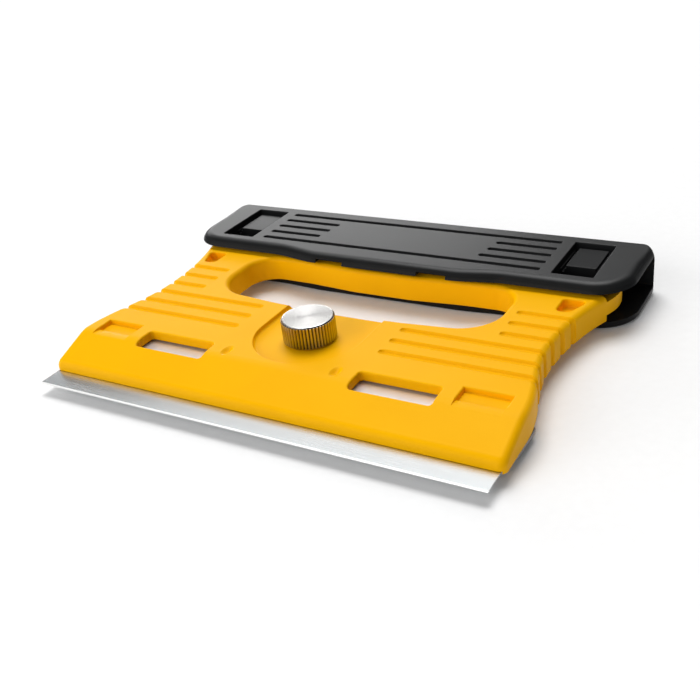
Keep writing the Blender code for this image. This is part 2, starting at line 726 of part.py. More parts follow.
def cover_grooves(middle):
    """Cutters for the grooves in the cover's top: two whole ones, and pairs beside a bare panel."""
    cutters = []
    for index in range(COVER_GROOVE_COUNT):
        y = middle + COVER_GROOVE_PITCH * (index - (COVER_GROOVE_COUNT - 1) / 2.0)
        if index in (0, COVER_GROOVE_COUNT - 1):
            cutters.append(cover_groove(y, -COVER_GROOVE_OUT, COVER_GROOVE_OUT))
        else:
            cutters.append(cover_groove(y, COVER_GROOVE_IN, COVER_GROOVE_OUT))
            cutters.append(cover_groove(y, -COVER_GROOVE_OUT, -COVER_GROOVE_IN))
    return cutters


def blade_cover(material):
    """Black channel with grip pads inside, windows over them and a grooved top."""
    middle = COVER_TOP / 2.0
    low_rings = slab_rings(cover_outline(COVER_LOW_SETBACK), 0.0, middle - OVER, 0.0, COVER_LOW_ROUND)
    top_rings = slab_rings(cover_outline(0.0), middle, COVER_TOP, COVER_ROUND)
    piece = loft("blade_cover", low_rings + top_rings)
    inside = COVER_BACK - COVER_WEB
    reach = COVER_HALF + OVER
    window_back = COVER_BACK - COVER_LAND
    window_front = window_back - COVER_WINDOW_LENGTH
    pad_front = window_front + COVER_SLOT
    channel = slab("channel", rectangle(-reach, reach, COVER_FRONT - OVER, inside, 0.0), COVER_LOW_WALL,
                   COVER_INSIDE_TOP)
    pads, wells, slots, moats, notches = [], [], [], [], []
    for side in (1.0, -1.0):
        pad_ends = sorted((side * (COVER_WINDOW_IN - RIB), side * (COVER_WINDOW_OUT + RIB)))
        pad = rectangle(*pad_ends, window_front - RIB, inside + OVER, 0.0)
        pads.append(slab("upper_pad", pad, RAIL_TOP + FIT, COVER_INSIDE_TOP + OVER))
        pads.append(slab("lower_pad", pad, COVER_LOW_WALL - OVER, RAIL_LOW - FIT))
        ends = sorted((side * COVER_WINDOW_IN, side * COVER_WINDOW_OUT))
        wells.append(slab("cover_window", rectangle(*ends, window_front, window_back, COVER_WINDOW_CORNER),
                          COVER_TOP - COVER_WINDOW_DEPTH, COVER_TOP + OVER))
        inner_ends = sorted((side * (COVER_WINDOW_IN + SLIDE_GAP), side * (COVER_WINDOW_OUT - SLIDE_GAP)))
        slot = rectangle(*inner_ends, window_front + SLIDE_GAP, pad_front, COVER_WINDOW_CORNER)
        slots.append(slab("cover_slot", slot, RAIL_TOP + FIT + SLOT_FLOOR, COVER_TOP))
        for near, far in ((COVER_WINDOW_IN + SLIDE_GAP, COVER_WINDOW_IN + MOAT_WIDTH),
                          (COVER_WINDOW_OUT - MOAT_WIDTH, COVER_WINDOW_OUT - SLIDE_GAP)):
            moat_ends = sorted((side * near, side * far))
            moat = rectangle(*moat_ends, pad_front - OVER, window_back - SLIDE_GAP, COVER_WINDOW_CORNER)
            moats.append(slab("moat", moat, COVER_TOP - COVER_WINDOW_DEPTH - MOAT_DEPTH, COVER_TOP - OVER))
        notch_ends = sorted((side * NOTCH_IN, side * NOTCH_OUT))
        notch = rectangle(*notch_ends, COVER_FRONT - OVER, COVER_FRONT + NOTCH_DEPTH, 0.0)
        notches.append(slab("notch", notch, COVER_INSIDE_TOP - OVER, COVER_INSIDE_TOP + NOTCH_HEIGHT))
    cut(channel, pads)
    cut(piece, [settled(channel)])
    cut(piece, wells + cover_grooves((window_front + window_back) / 2.0))
    cut(piece, slots + notches)
    cut(piece, moats)
    complete(piece, material, (0.0, COVER_BACK, 0.0))


def build_all():
    """Build every piece."""
    clear_scene()
    plastic = finish_material("yellow_plastic", (0.93, 0.42, 0.01), 0.42, 0.0)
    stainless = finish_material("stainless_blade", (0.62, 0.63, 0.64), 0.28, 1.0)
    plate = finish_material("plate_steel", (0.58, 0.58, 0.58), 0.35, 1.0)
    zinc = finish_material("zinc_steel", (0.55, 0.56, 0.57), 0.35, 1.0)
    aluminium = finish_material("turned_aluminium", (0.80, 0.79, 0.77), 0.25, 1.0)
    black = finish_material("black_plastic", (0.035, 0.036, 0.038), 0.48, 0.0)
    body(plastic)
    blade(stainless)
    clamp_plate(plate)
    clamp_stud(zinc)
    guide_pin("guide_pin_left", -1.0, zinc)
    guide_pin("guide_pin_right", 1.0, zinc)
    knob(aluminium)
    knob_washer(zinc)
    blade_cover(black)


build_all()
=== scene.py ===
"""Looks of a window scraper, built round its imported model.

Sizes are in millimetres. x runs along the blade, y back from the cutting edge and z up from the underside
of the cover. Meshes are drawn in that frame and moved into the model's own frame as they are made.
"""

import logging
import math
from collections.abc import Mapping, Sequence
from dataclasses import dataclass
from enum import Enum
from typing import Union

import bmesh
import bpy
from mathutils import Matrix, Vector


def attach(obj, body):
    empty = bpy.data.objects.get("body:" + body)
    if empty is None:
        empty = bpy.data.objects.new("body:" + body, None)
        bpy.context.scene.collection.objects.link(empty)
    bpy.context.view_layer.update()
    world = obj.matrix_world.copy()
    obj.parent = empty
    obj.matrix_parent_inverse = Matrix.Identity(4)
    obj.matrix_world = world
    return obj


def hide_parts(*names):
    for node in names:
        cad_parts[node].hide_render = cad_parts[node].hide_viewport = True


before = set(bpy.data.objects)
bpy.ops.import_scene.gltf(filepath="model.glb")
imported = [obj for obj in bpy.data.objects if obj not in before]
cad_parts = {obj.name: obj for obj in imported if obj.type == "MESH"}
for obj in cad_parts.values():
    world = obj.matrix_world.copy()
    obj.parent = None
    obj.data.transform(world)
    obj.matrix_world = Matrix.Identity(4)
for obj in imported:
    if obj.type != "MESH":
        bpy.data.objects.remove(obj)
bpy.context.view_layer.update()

LOG = logging.getLogger("scraper")
MM = 0.001
HALF_PI = math.pi / 2.0
ARC_STEP = math.radians(6.0)
ROUND_STEPS = 6
SHARP_ANGLE = math.radians(34.0)
OVER = 1.0
STRAIGHT = 1e-6
SNAP = 1e-7

Pair = tuple[float, float]
Point = tuple[float, float, float]
Corner = tuple[float, float, float]
Colour = tuple[float, float, float]
Outline = list[Vector]
Ring = list[Point]
Piece = bpy.types.Object


class Side(Enum):
    """Left or right half of the tool, as a factor on x."""

    LEFT = -1.0
    RIGHT = 1.0


class Work(Enum):
    """What is done with the solids that are worked into a piece."""

    CUT = "DIFFERENCE"
    FUSE = "UNION"


class Moves(Enum):
    """Moving body that a piece belongs to."""

    BODY = "body"
    BLADE = "blade"
    CLAMP = "clamp"
    KNOB = "knob"
    COVER = "cover"


@dataclass(frozen=True)
class Layout:
    """Sizes that several pieces share, and the places that follow from them."""

    length: float = 124.6
    body_thick: float = 8.8
    roof_thick: float = 2.9
    blade_width: float = 150.0
    blade_depth: float = 20.0
    blade_thick: float = 0.6
    blade_show: float = 8.0
    cheek: float = 1.2
    bevel_run: float = 14.5
    hole_depth: float = 30.8
    hole_bow: float = 2.0
    handle_depth: float = 29.0
    rail_drop: float = 2.0
    rail_thick: float = 4.5
    rail_step: float = 3.0
    knob_radius: float = 8.3
    knob_height: float = 7.6
    pocket_depth: float = 1.5
    stud_radius: float = 3.0
    stud_covered: float = 2.25
    washer_margin: float = 1.8
    washer_thick: float = 0.75
    shoulder: float = 1.4
    shoulder_thick: float = 0.8
    plate_thick: float = 0.9
    plate_proud: float = 0.7
    plate_clear: float = 0.25
    foot_length: float = 8.6
    ear_length: float = 13.4
    knob_lead: float = 12.4
    hole_lead: float = 15.8
    pad_clear: float = 0.6
    pin_radius: float = 1.5
    pin_entry: float = 3.6
    slide_gap: float = 0.1
    fit: float = 0.3

    body_low: float = 3.0
    body_top: float = body_low + body_thick
    plate_low: float = body_low - plate_proud
    plate_top: float = plate_low + plate_thick
    plate_bed: float = plate_top + plate_clear
    blade_low: float = plate_top + slide_gap
    blade_top: float = blade_low + blade_thick
    blade_bed: float = blade_top + slide_gap
    rail_top: float = body_top - rail_drop
    rail_low: float = rail_top - rail_thick
    roof: float = body_top - roof_thick
    pad_top: float = roof - pad_clear
    pocket_floor: float = body_top - pocket_depth
    knob_low: float = pocket_floor + slide_gap
    knob_top: float = knob_low + knob_height
    stud_tip: float = knob_top - stud_covered
    cover_top: float = 16.0

    break_y: float = blade_show + bevel_run
    foot_back: float = blade_show + foot_length
    ear_back: float = foot_back + ear_length
    knob_y: float = ear_back + knob_lead
    hole_front: float = knob_y + hole_lead
    hole_back: float = hole_front + hole_depth
    step_y: float = hole_back + rail_step
    handle_back: float = hole_back + handle_depth
    pin_y: float = ear_back + pin_radius + fit

    blade_half: float = blade_width / 2.0
    front_half: float = blade_half + cheek
    window_in: float = front_half * 0.335
    window_out: float = front_half * 0.672
    pin_x: float = front_half * 0.79


LAYOUT = Layout()


def fillet(corners: Sequence[Corner]) -> Outline:
    """Round every corner of a closed outline by an arc.

    Args:
        corners: x, y and radius of each corner, anticlockwise.

    Returns:
        Points of the rounded outline.
    """
    outline: Outline = []
    for index, (x, y, radius) in enumerate(corners):
        point = Vector((x, y))
        into = (point - Vector(corners[index - 1][:2])).normalized()
        away = (Vector(corners[(index + 1) % len(corners)][:2]) - point).normalized()
        turn = math.atan2(into.x * away.y - into.y * away.x, into.dot(away))
        if radius == 0.0 or abs(turn) < STRAIGHT:
            outline.append(point)
            continue
        start = point - into * (radius * math.tan(abs(turn) / 2.0))
        centre = start + Vector((-into.y, into.x)) * math.copysign(radius, turn)
        steps = max(1, math.ceil(abs(turn) / ARC_STEP))
        for step in range(steps + 1):
            spin = Matrix.Rotation(turn * step / steps, 2)
            outline.append(centre + spin @ (start - centre))
    return outline


def mirrored(half: Sequence[Corner]) -> list[Corner]:
    """Complete a corner list from its right-hand half.

    Args:
        half: Corners of the right-hand half, from front to back.

    Returns:
        Corners of the whole outline.
    """
    return list(half) + [(-x, y, radius) for x, y, radius in reversed(half)]


def handed(side: Side, corners: Sequence[Corner]) -> list[Corner]:
    """Put a right-hand corner list on one side, keeping it anticlockwise.

    Args:
        side: Side that the outline goes to.
        corners: Corners as they are on the right.

    Returns:
        Corners on that side.
    """
    if side is Side.RIGHT:
        return list(corners)
    return [(-x, y, radius) for x, y, radius in reversed(corners)]


def rectangle(x_low: float, x_high: float, y_low: float, y_high: float, radius: float = 0.0) -> list[Corner]:
    """List the corners of a rectangle.

    Args:
        x_low: Least x.
        x_high: Greatest x.
        y_low: Least y.
        y_high: Greatest y.
        radius: Radius of every corner.

    Returns:
        The four corners, anticlockwise.
    """
    return [(x_low, y_low, radius), (x_high, y_low, radius),
            (x_high, y_high, radius), (x_low, y_high, radius)]


def circle(x: float, y: float, radius: float, count: int = 64) -> Outline:
    """Draw a circle.

    Args:
        x: Centre's x.
        y: Centre's y.
        radius: Radius.
        count: Number of points.

    Returns:
        Points of the circle, anticlockwise.
    """
    turns = [2.0 * math.pi * step / count for step in range(count)]
    return [Vector((x + radius * math.cos(turn), y + radius * math.sin(turn))) for turn in turns]


def inset(outline: Outline, distance: float) -> Outline:
    """Move an outline inwards.

    Args:
        outline: Closed outline, anticlockwise.
        distance: How far inwards; outwards when it is negative.

    Returns:
        The moved outline, point for point.
    """
    moved: Outline = []
    for index, point in enumerate(outline):
        into = (point - outline[index - 1]).normalized()
        away = (outline[(index + 1) % len(outline)] - point).normalized()
        normal = Vector((-into.y - away.y, into.x + away.x))
        moved.append(point + normal * (distance / (1.0 + into.dot(away))))
    return moved


def level(outline: Outline, z: float) -> Ring:
    """Lift an outline to a height."""
    return [(point.x, point.y, z) for point in outline]


def quarter(steps: int = ROUND_STEPS) -> list[float]:
    """Angles from zero to a right angle, in equal steps."""
    return [HALF_PI * step / steps for step in range(steps + 1)]


@dataclass(frozen=True)
class Rims:
    """Radii of a slab's two rims; a negative one flares outwards, to leave a rounded mouth where it cuts."""

    top: float = 0.0
    low: float = 0.0
    over: float = 0.0

    def rings(self, outline: Outline, low: float, high: float) -> list[Ring]:
        """Stack the outline into rings.

        Args:
            outline: Plan outline.
            low: Lower height.
            high: Upper height.

        Returns:
            Rings from the lowest to the highest.
        """
        stack: list[Ring] = []
        if self.over:
            stack.append(level(inset(outline, self.low), low - self.over))
        if self.low:
            for turn in quarter()[:-1]:
                shrunk = inset(outline, self.low * (1.0 - math.sin(turn)))
                stack.append(level(shrunk, low + abs(self.low) * (1.0 - math.cos(turn))))
        stack.append(level(outline, low + abs(self.low)))
        stack.append(level(outline, high - abs(self.top)))
        if self.top:
            for turn in quarter()[1:]:
                shrunk = inset(outline, self.top * (1.0 - math.cos(turn)))
                stack.append(level(shrunk, high - abs(self.top) * (1.0 - math.sin(turn))))
        if self.over:
            stack.append(level(inset(outline, self.top), high + self.over))
        return stack


PLAIN = Rims()


def loft(name: str, rings: Sequence[Ring]) -> Piece:
    """Skin a closed solid over rings of equal length.

    Args:
        name: Name of the object.
        rings: Rings in order, each in millimetres.

    Returns:
        The linked object, in the model's frame.
    """
    build = bmesh.new()
    shift = Vector((0.0, LAYOUT.length / 2.0, 0.0))
    rows = [[build.verts.new((Vector(point) - shift) * MM) for point in ring] for ring in rings]
    count = len(rings[0])
    for lower, upper in zip(rows, rows[1:]):
        for index in range(count):
            following = (index + 1) % count
            build.faces.new((lower[index], lower[following], upper[following], upper[index]))
    build.faces.new(list(reversed(rows[0])))
    build.faces.new(rows[-1])
    bmesh.ops.recalc_face_normals(build, faces=build.faces)
    mesh = bpy.data.meshes.new(name)
    build.to_mesh(mesh)
    build.free()
    piece = bpy.data.objects.new(name, mesh)
    bpy.context.scene.collection.objects.link(piece)
    return piece


def slab(name: str, outline: Outline, low: float, high: float, rims: Rims = PLAIN) -> Piece:
    """Raise a plan outline into a solid.

    Args:
        name: Name of the object.
        outline: Plan outline.
        low: Lower height.
        high: Upper height.
        rims: Rounding of the two rims.

    Returns:
        The linked object.
    """
    return loft(name, rims.rings(outline, low, high))


def pit(name: str, outline: Outline, low: float, high: float, rims: Rims, over: float = OVER) -> Piece:
    """Raise a cutter that goes straight up from its mouth, past the surface that it is sunk into.

    Args:
        name: Name of the object.
        outline: Plan outline.
        low: Height of its floor.
        high: Height of the surface.
        rims: Rounding of its mouth and floor.
        over: How far it stands over the surface.

    Returns:
        The linked object.
    """
    stack = rims.rings(outline, low, high)
    stack.append([(x, y, high + over) for x, y, _ in stack[-1]])
    return loft(name, stack)


def bar(name: str, section: Sequence[Pair], x_low: float, x_high: float) -> Piece:
    """Draw a (y, z) section along x.

    Args:
        name: Name of the object.
        section: Points of the section.
        x_low: Least x.
        x_high: Greatest x.

    Returns:
        The linked object.
    """
    return loft(name, [[(x, y, z) for y, z in section] for x in (x_low, x_high)])


def turned(name: str, profile: Sequence[Pair], x: float, y: float, count: int = 64) -> Piece:
    """Turn a profile about an upright axis.

    Args:
        name: Name of the object.
        profile: Radius and height of each step, lowest first.
        x: Axis's x.
        y: Axis's y.
        count: Number of facets.

    Returns:
        The linked object.
    """
    return loft(name, [level(circle(x, y, radius, count), z) for radius, z in profile])


def join(pieces: Sequence[Piece]) -> Piece:
    """Put several meshes into the first of them.

    Args:
        pieces: Objects to join; all but the first are dropped.

    Returns:
        The first object.
    """
    build = bmesh.new()
    for piece in pieces:
        build.from_mesh(piece.data)
    build.to_mesh(pieces[0].data)
    build.free()
    for spare in pieces[1:]:
        bpy.data.objects.remove(spare, do_unlink=True)
    return pieces[0]


def combine(piece: Piece, others: Sequence[Piece], work: Work) -> None:
    """Work solids that stand clear of each other into a piece.

    Args:
        piece: Object that is changed.
        others: Closed objects, dropped afterwards.
        work: Whether they are cut away or fused on.
    """
    cutter = join(others)
    step = piece.modifiers.new(work.name.lower(), "BOOLEAN")
    step.operation = work.value
    step.solver = "MANIFOLD"
    step.object = cutter
    depsgraph = bpy.context.evaluated_depsgraph_get()
    solid = bpy.data.meshes.new_from_object(piece.evaluated_get(depsgraph))
    piece.modifiers.clear()
    piece.data = solid
    bpy.data.objects.remove(cutter, do_unlink=True)


def cut(piece: Piece, cutters: Sequence[Piece]) -> None:
    """Take closed cutters away from a piece."""
    combine(piece, cutters, Work.CUT)


def smooth(piece: Piece) -> None:
    """Shade a piece smooth between its sharp edges, with flat faces kept flat.

    Args:
        piece: Object that is shaded.
    """
    piece.data.name = piece.name
    piece.data.shade_smooth()
    piece.data.set_sharp_from_angle(angle=SHARP_ANGLE)
    even = piece.modifiers.new("even_normals", "WEIGHTED_NORMAL")
    even.keep_sharp = True


def show(piece: Piece, material: bpy.types.Material, moves: Moves, slot: str, *nodes: str) -> None:
    """Dress a piece, tie it to its moving body and let it stand for its solids.

    Args:
        piece: Object to show.
        material: Its material.
        moves: Body that it moves with.
        slot: Slot of the record that its finish comes from; not used.
        nodes: Names of the solids that it stands for.
    """
    smooth(piece)
    piece.data.materials.clear()
    piece.data.materials.append(material)
    for face in piece.data.polygons:
        face.material_index = 0
    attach(piece, moves.value)
    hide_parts(*nodes)
    LOG.info("%s: %d faces, moves with %s", piece.name, len(piece.data.polygons), moves.value)


Term = Union["Signal", float, Sequence[float]]


class Signal:
    """A node's output, on which sums are written as plain expressions."""

    def __init__(self, recipe: "Recipe", socket: bpy.types.NodeSocket) -> None:
        """Keep the socket and the recipe that its sums are added to."""
        self.recipe = recipe
        self.socket = socket

    def _sum(self, operation: str, first: Term, second: Term) -> "Signal":
        """Add one Math node.

        Args:
            operation: Name of the operation.
            first: First value.
            second: Second value.

        Returns:
            The result.
        """
        return self.recipe.node("ShaderNodeMath", {"operation": operation}, {0: first, 1: second})

    def __add__(self, other: Term) -> "Signal":
        """Sum with a value on the right."""
        return self._sum("ADD", self, other)

    def __radd__(self, other: Term) -> "Signal":
        """Sum with a value on the left."""
        return self._sum("ADD", other, self)

    def __sub__(self, other: Term) -> "Signal":
        """Difference from a value on the right."""
        return self._sum("SUBTRACT", self, other)

    def __rsub__(self, other: Term) -> "Signal":
        """Difference from a value on the left."""
        return self._sum("SUBTRACT", other, self)

    def __mul__(self, other: Term) -> "Signal":
        """Product with a value on the right."""
        return self._sum("MULTIPLY", self, other)

    def __rmul__(self, other: Term) -> "Signal":
        """Product with a value on the left."""
        return self._sum("MULTIPLY", other, self)

    def __truediv__(self, other: Term) -> "Signal":
        """Quotient by a value on the right."""
        return self._sum("DIVIDE", self, other)

    def __rtruediv__(self, other: Term) -> "Signal":
        """Quotient of a value on the left."""
        return self._sum("DIVIDE", other, self)

    def __pow__(self, other: Term) -> "Signal":
        """Power with an exponent on the right."""
        return self._sum("POWER", self, other)

    def __rpow__(self, other: Term) -> "Signal":
        """Power of a base on the left."""
        return self._sum("POWER", other, self)

    def __lt__(self, other: Term) -> "Signal":
        """One where this is less than a value, zero elsewhere."""
        return self._sum("LESS_THAN", self, other)

    def __gt__(self, other: Term) -> "Signal":
        """One where this is greater than a value, zero elsewhere."""
        return self._sum("GREATER_THAN", self, other)

    def swing(self, reach: float) -> "Signal":
        """Let a noise swing about zero instead of about one half."""
        return (self - 0.5) * reach

    def blend(self, other: "Signal", share: float) -> "Signal":
        """Mean with another value, which has the given share."""
        return self * (1.0 - share) + other * share


class Recipe:
    """Node tree of one material or of the room, filled node by node."""

    def __init__(self, owner: Union[bpy.types.Material, bpy.types.World]) -> None:
        """Start with the tree that its owner comes with.

        Args:
            owner: Material or room that the tree belongs to.
        """
        owner.use_nodes = True
        self.owner = owner
        self.tree = owner.node_tree

    def feed(self, socket: bpy.types.NodeSocket, value: Term) -> None:
        """Link a signal to a socket, or set its value.

        Args:
            socket: Socket that is fed.
            value: Signal or plain value.
        """
        if isinstance(value, Signal):
            self.tree.links.new(socket, value.socket)
        else:
            socket.default_value = value

    def node(self, kind: str, settings: Mapping[str, object], sockets: Mapping[Union[str, int], Term],
             out: int = 0) -> Signal:
        """Add a node of any kind.

        Args:
            kind: Node type.
            settings: Its settings, set before its sockets.
            sockets: Value or signal of each socket, by name or number.
            out: Number of the output that is wanted.

        Returns:
            The wanted output.
        """
        made = self.tree.nodes.new(kind)
        for key, value in settings.items():
            setattr(made, key, value)
        for key, value in sockets.items():
            self.feed(made.inputs[key], value)
        return Signal(self, made.outputs[out])

    def place(self) -> Signal:
        """Place on the piece, in metres."""
        return self.node("ShaderNodeTexCoord", {}, {}, out=3)

    def axis(self, place: Signal, number: int) -> Signal:
        """One coordinate of a place: 0 for x, 1 for y, 2 for z."""
        return self.node("ShaderNodeSeparateXYZ", {}, {0: place}, out=number)

    def stretched(self, place: Signal, factors: Point) -> Signal:
        """Scale a place, axis by axis."""
        return self.node("ShaderNodeVectorMath", {"operation": "MULTIPLY"}, {0: place, 1: factors})

    def noise(self, place: Signal, size: float, detail: float = 2.0) -> Signal:
        """Add a cloudy noise.

        Args:
            place: Where it is read.
            size: Size of its clouds, in millimetres.
            detail: Number of finer layers.

        Returns:
            A value around one half.
        """
        sockets = {"Vector": place, "Scale": 1.0 / (size * MM), "Detail": detail}
        return self.node("ShaderNodeTexNoise", {}, sockets)

    def clipped(self, value: Signal, low: float, high: float) -> Signal:
        """Stretch the span from low to high over zero to one, and clip it."""
        return self.node("ShaderNodeMapRange", {"clamp": True}, {0: value, 1: low, 2: high, 3: 0.0, 4: 1.0})

    def mixed(self, share: Term, first: Term, second: Term) -> Signal:
        """Mix two colours.

        Args:
            share: Share of the second colour.
            first: First colour.
            second: Second colour.

        Returns:
            The mixed colour.
        """
        ends = [(*end, 1.0) if isinstance(end, tuple) else end for end in (first, second)]
        settings = {"data_type": "RGBA"}
        return self.node("ShaderNodeMix", settings, {0: share, 6: ends[0], 7: ends[1]}, out=2)

    def toned(self, value: Signal, span: Pair, first: Colour, second: Colour) -> Signal:
        """Go from one colour to another.

        Args:
            value: Value that decides.
            span: Values at which the change starts and ends.
            first: Colour below the span.
            second: Colour above it.

        Returns:
            The colour.
        """
        return self.mixed(self.clipped(value, *span), first, second)

    def bumped(self, height: Signal, depth: float, strength: float = 1.0) -> Signal:
        """Turn a height into a surface direction.

        Args:
            height: Height from zero to one.
            depth: Depth of that span, in millimetres.
            strength: Share of the effect.

        Returns:
            The direction.
        """
        sockets = {"Height": height, "Distance": depth * MM, "Strength": strength}
        return self.node("ShaderNodeBump", {}, sockets)

    def shaded(self, varying: Mapping[str, Signal], constant: Mapping[str, Term]) -> bpy.types.Material:
        """Finish the material.

        Args:
            varying: Signals of the shader's sockets that change over the surface.
            constant: Values of its other sockets.

        Returns:
            The material.
        """
        shader = self.tree.nodes["Principled BSDF"]
        for name, value in {**constant, **varying}.items():
            self.feed(shader.inputs[name], value)
        return self.owner


@dataclass(frozen=True)
class Moulding:
    """Moulded plastic: a fine spark-eroded grain, faint clouds of pigment and soft sheen."""

    name: str
    slot: str
    colour: Colour
    cloud: Colour
    roughness: float
    grain: float
    grain_depth: float
    specular: float
    polished_from: float = 0.0
    polished_to: float = 0.0
    polish: float = 0.5
    gloss: float = 0.0
    glossy_from: float = 0.0
    glossy_to: float = 1.0
    cloud_size: float = 14.0
    cloud_span: Pair = (0.35, 0.75)
    cloud_sheen: float = 0.10
    grain_sheen: float = 0.12
    pore_ratio: float = 6.0
    pore_share: float = 0.3
    refraction: float = 1.48

    def material(self) -> bpy.types.Material:
        """Mix the plastic.

        Returns:
            The material, with a polished band and a glossy lip at the heights that have them.
        """
        recipe = Recipe(bpy.data.materials.new(self.name))
        place = recipe.place()
        clouds = recipe.noise(place, self.cloud_size, 3.0)
        grain = recipe.noise(place, self.grain, 3.0)
        pores = recipe.noise(place, self.grain * self.pore_ratio, 1.0)
        colour = recipe.toned(clouds, self.cloud_span, self.colour, self.cloud)
        z = recipe.axis(place, 2)
        dull = 1.0 - (z > self.polished_from * MM) * (z < self.polished_to * MM)
        uneven = clouds.swing(self.cloud_sheen) + grain.swing(self.grain_sheen)
        roughness = self.roughness * (1.0 - self.polish + dull * self.polish) + uneven * dull
        normal = recipe.bumped(grain.blend(pores, self.pore_share) * dull, self.grain_depth)
        raised = recipe.clipped(z, self.glossy_from * MM, self.glossy_to * MM)
        gloss = (raised + (1.0 - dull) * self.polish) * self.gloss
        varying = {"Base Color": colour, "Roughness": roughness, "Normal": normal, "Coat Weight": gloss}
        constant = {"Specular IOR Level": self.specular, "IOR": self.refraction,
                    "Coat Roughness": self.roughness}
        return recipe.shaded(varying, constant)


@dataclass(frozen=True)
class GroundSteel:
    """Cold-rolled steel ground along its length, with a brighter honed strip in front of a line."""

    name: str
    slot: str
    colour: Colour
    dark: Colour
    roughness: float
    honed_to: float
    honed_roughness: float
    honed_colour: Colour = (0.95, 0.95, 0.94)
    honed_whiteness: float = 0.6
    line_size: float = 0.12
    line_stretch: float = 0.02
    cross_size: float = 0.06
    cross_stretch: float = 0.03
    stain_size: float = 22.0
    stain_share: float = 0.4
    tone_span: Pair = (0.35, 0.65)
    stain_sheen: float = 0.015
    line_sheen: float = 0.02
    line_relief: float = 0.03
    relief: float = 0.001
    relief_strength: float = 0.5

    def material(self) -> bpy.types.Material:
        """Grind the steel.

        Returns:
            The material.
        """
        recipe = Recipe(bpy.data.materials.new(self.name))
        place = recipe.place()
        along = recipe.stretched(place, (self.line_stretch, 1.0, 1.0))
        across = recipe.stretched(place, (1.0, self.cross_stretch, 1.0))
        long_lines = recipe.noise(along, self.line_size, 4.0)
        cross_lines = recipe.noise(across, self.cross_size, 2.0)
        stains = recipe.noise(place, self.stain_size, 4.0)
        honed = recipe.axis(place, 1) < (self.honed_to - LAYOUT.length / 2.0) * MM
        lines = long_lines * (1.0 - honed) * self.line_relief + cross_lines * honed
        ground = long_lines.blend(stains, self.stain_share)
        body = recipe.toned(ground, self.tone_span, self.dark, self.colour)
        colour = recipe.mixed(honed, body, self.honed_colour)
        worked = self.roughness + stains.swing(self.stain_sheen) + long_lines.swing(self.line_sheen)
        roughness = worked * (1.0 - honed) + honed * self.honed_roughness
        normal = recipe.bumped(lines, self.relief, self.relief_strength)
        metallic = 1.0 - honed * self.honed_whiteness
        varying = {"Base Color": colour, "Roughness": roughness, "Normal": normal, "Metallic": metallic}
        return recipe.shaded(varying, {})


@dataclass(frozen=True)
class TurnedMetal:
    """Lathe-turned aluminium: fine rings about the knob's axis, and a knurled side painted darker than the
    face, with painted shade in the roots of its teeth.
    """

    name: str
    slot: str
    colour: Colour
    dark: Colour
    # knurled and root are painted shade: the side's colour at the crests of the teeth and in their roots
    knurled: Colour
    root: Colour
    roughness: float
    ring_pitch: float
    side_radius: float
    brushing: float
    brushing_turn: float = 0.25
    speck_size: float = 0.4
    speck_share: float = 0.3
    tone_span: Pair = (0.3, 0.7)
    ring_sheen: float = 0.10
    speck_sheen: float = 0.06
    side_shine: float = 0.4
    ring_depth: float = 0.006
    ring_strength: float = 0.6

    def material(self) -> bpy.types.Material:
        """Turn the metal.

        Returns:
            The material.
        """
        recipe = Recipe(bpy.data.materials.new(self.name))
        place = recipe.place()
        x = recipe.axis(place, 0)
        y = recipe.axis(place, 1) - (LAYOUT.knob_y - LAYOUT.length / 2.0) * MM
        radius = (x * x + y * y) ** 0.5
        rings = recipe.node("ShaderNodeTexNoise", {"noise_dimensions": "1D"},
                            {"W": radius / (self.ring_pitch * MM), "Scale": 1.0, "Detail": 3.0})
        specks = recipe.noise(place, self.speck_size, 3.0)
        face = recipe.toned(rings.blend(specks, self.speck_share), self.tone_span, self.dark, self.colour)
        # Painted shade on the knurled side: darker than the face at the crests, near black in the roots.
        side = radius > self.side_radius * MM
        crest = recipe.clipped(radius, self.side_radius * MM, LAYOUT.knob_radius * MM)
        colour = recipe.mixed(side, face, recipe.mixed(crest, self.root, self.knurled))
        uneven = rings.swing(self.ring_sheen) + specks.swing(self.speck_sheen)
        roughness = (self.roughness + uneven) * (1.0 - side * self.side_shine)
        normal = recipe.bumped(rings, self.ring_depth, self.ring_strength)
        varying = {"Base Color": colour, "Roughness": roughness, "Normal": normal}
        constant = {"Metallic": 1.0, "Anisotropic": self.brushing, "Anisotropic Rotation": self.brushing_turn}
        return recipe.shaded(varying, constant)


@dataclass(frozen=True)
class SheetSteel:
    """Rolled or plated steel with a mottled skin, painted with a dark shade below a height."""

    name: str
    slot: str
    colour: Colour
    dark: Colour
    roughness: float
    mottle: float
    unevenness: float
    # Painted shade: the colour put on everything below a height.
    dull: Colour = (0.20, 0.20, 0.21)
    painted_shade_below: float = 0.0
    metallic: float = 1.0
    drawn_size: float = 0.25
    drawn_stretch: float = 0.05
    drawn_share: float = 0.4
    tone_span: Pair = (0.3, 0.7)
    relief: float = 0.02
    relief_share: float = 0.5
    relief_strength: float = 0.5

    def material(self) -> bpy.types.Material:
        """Roll the sheet.

        Returns:
            The material.
        """
        recipe = Recipe(bpy.data.materials.new(self.name))
        place = recipe.place()
        mottle = recipe.noise(place, self.mottle, 5.0)
        drawn = recipe.noise(recipe.stretched(place, (self.drawn_stretch, 1.0, 1.0)), self.drawn_size, 3.0)
        bright = recipe.toned(mottle.blend(drawn, self.drawn_share), self.tone_span, self.dark, self.colour)
        # Painted shade: a darker colour below a height, on the plate's edges under the body.
        low = recipe.axis(place, 2) < self.painted_shade_below * MM
        colour = recipe.mixed(low, bright, self.dull)
        roughness = self.roughness + mottle.swing(self.unevenness)
        height = mottle.blend(drawn, self.relief_share)
        normal = recipe.bumped(height, self.unevenness * self.relief, self.relief_strength)
        varying = {"Base Color": colour, "Roughness": roughness, "Normal": normal}
        return recipe.shaded(varying, {"Metallic": self.metallic})


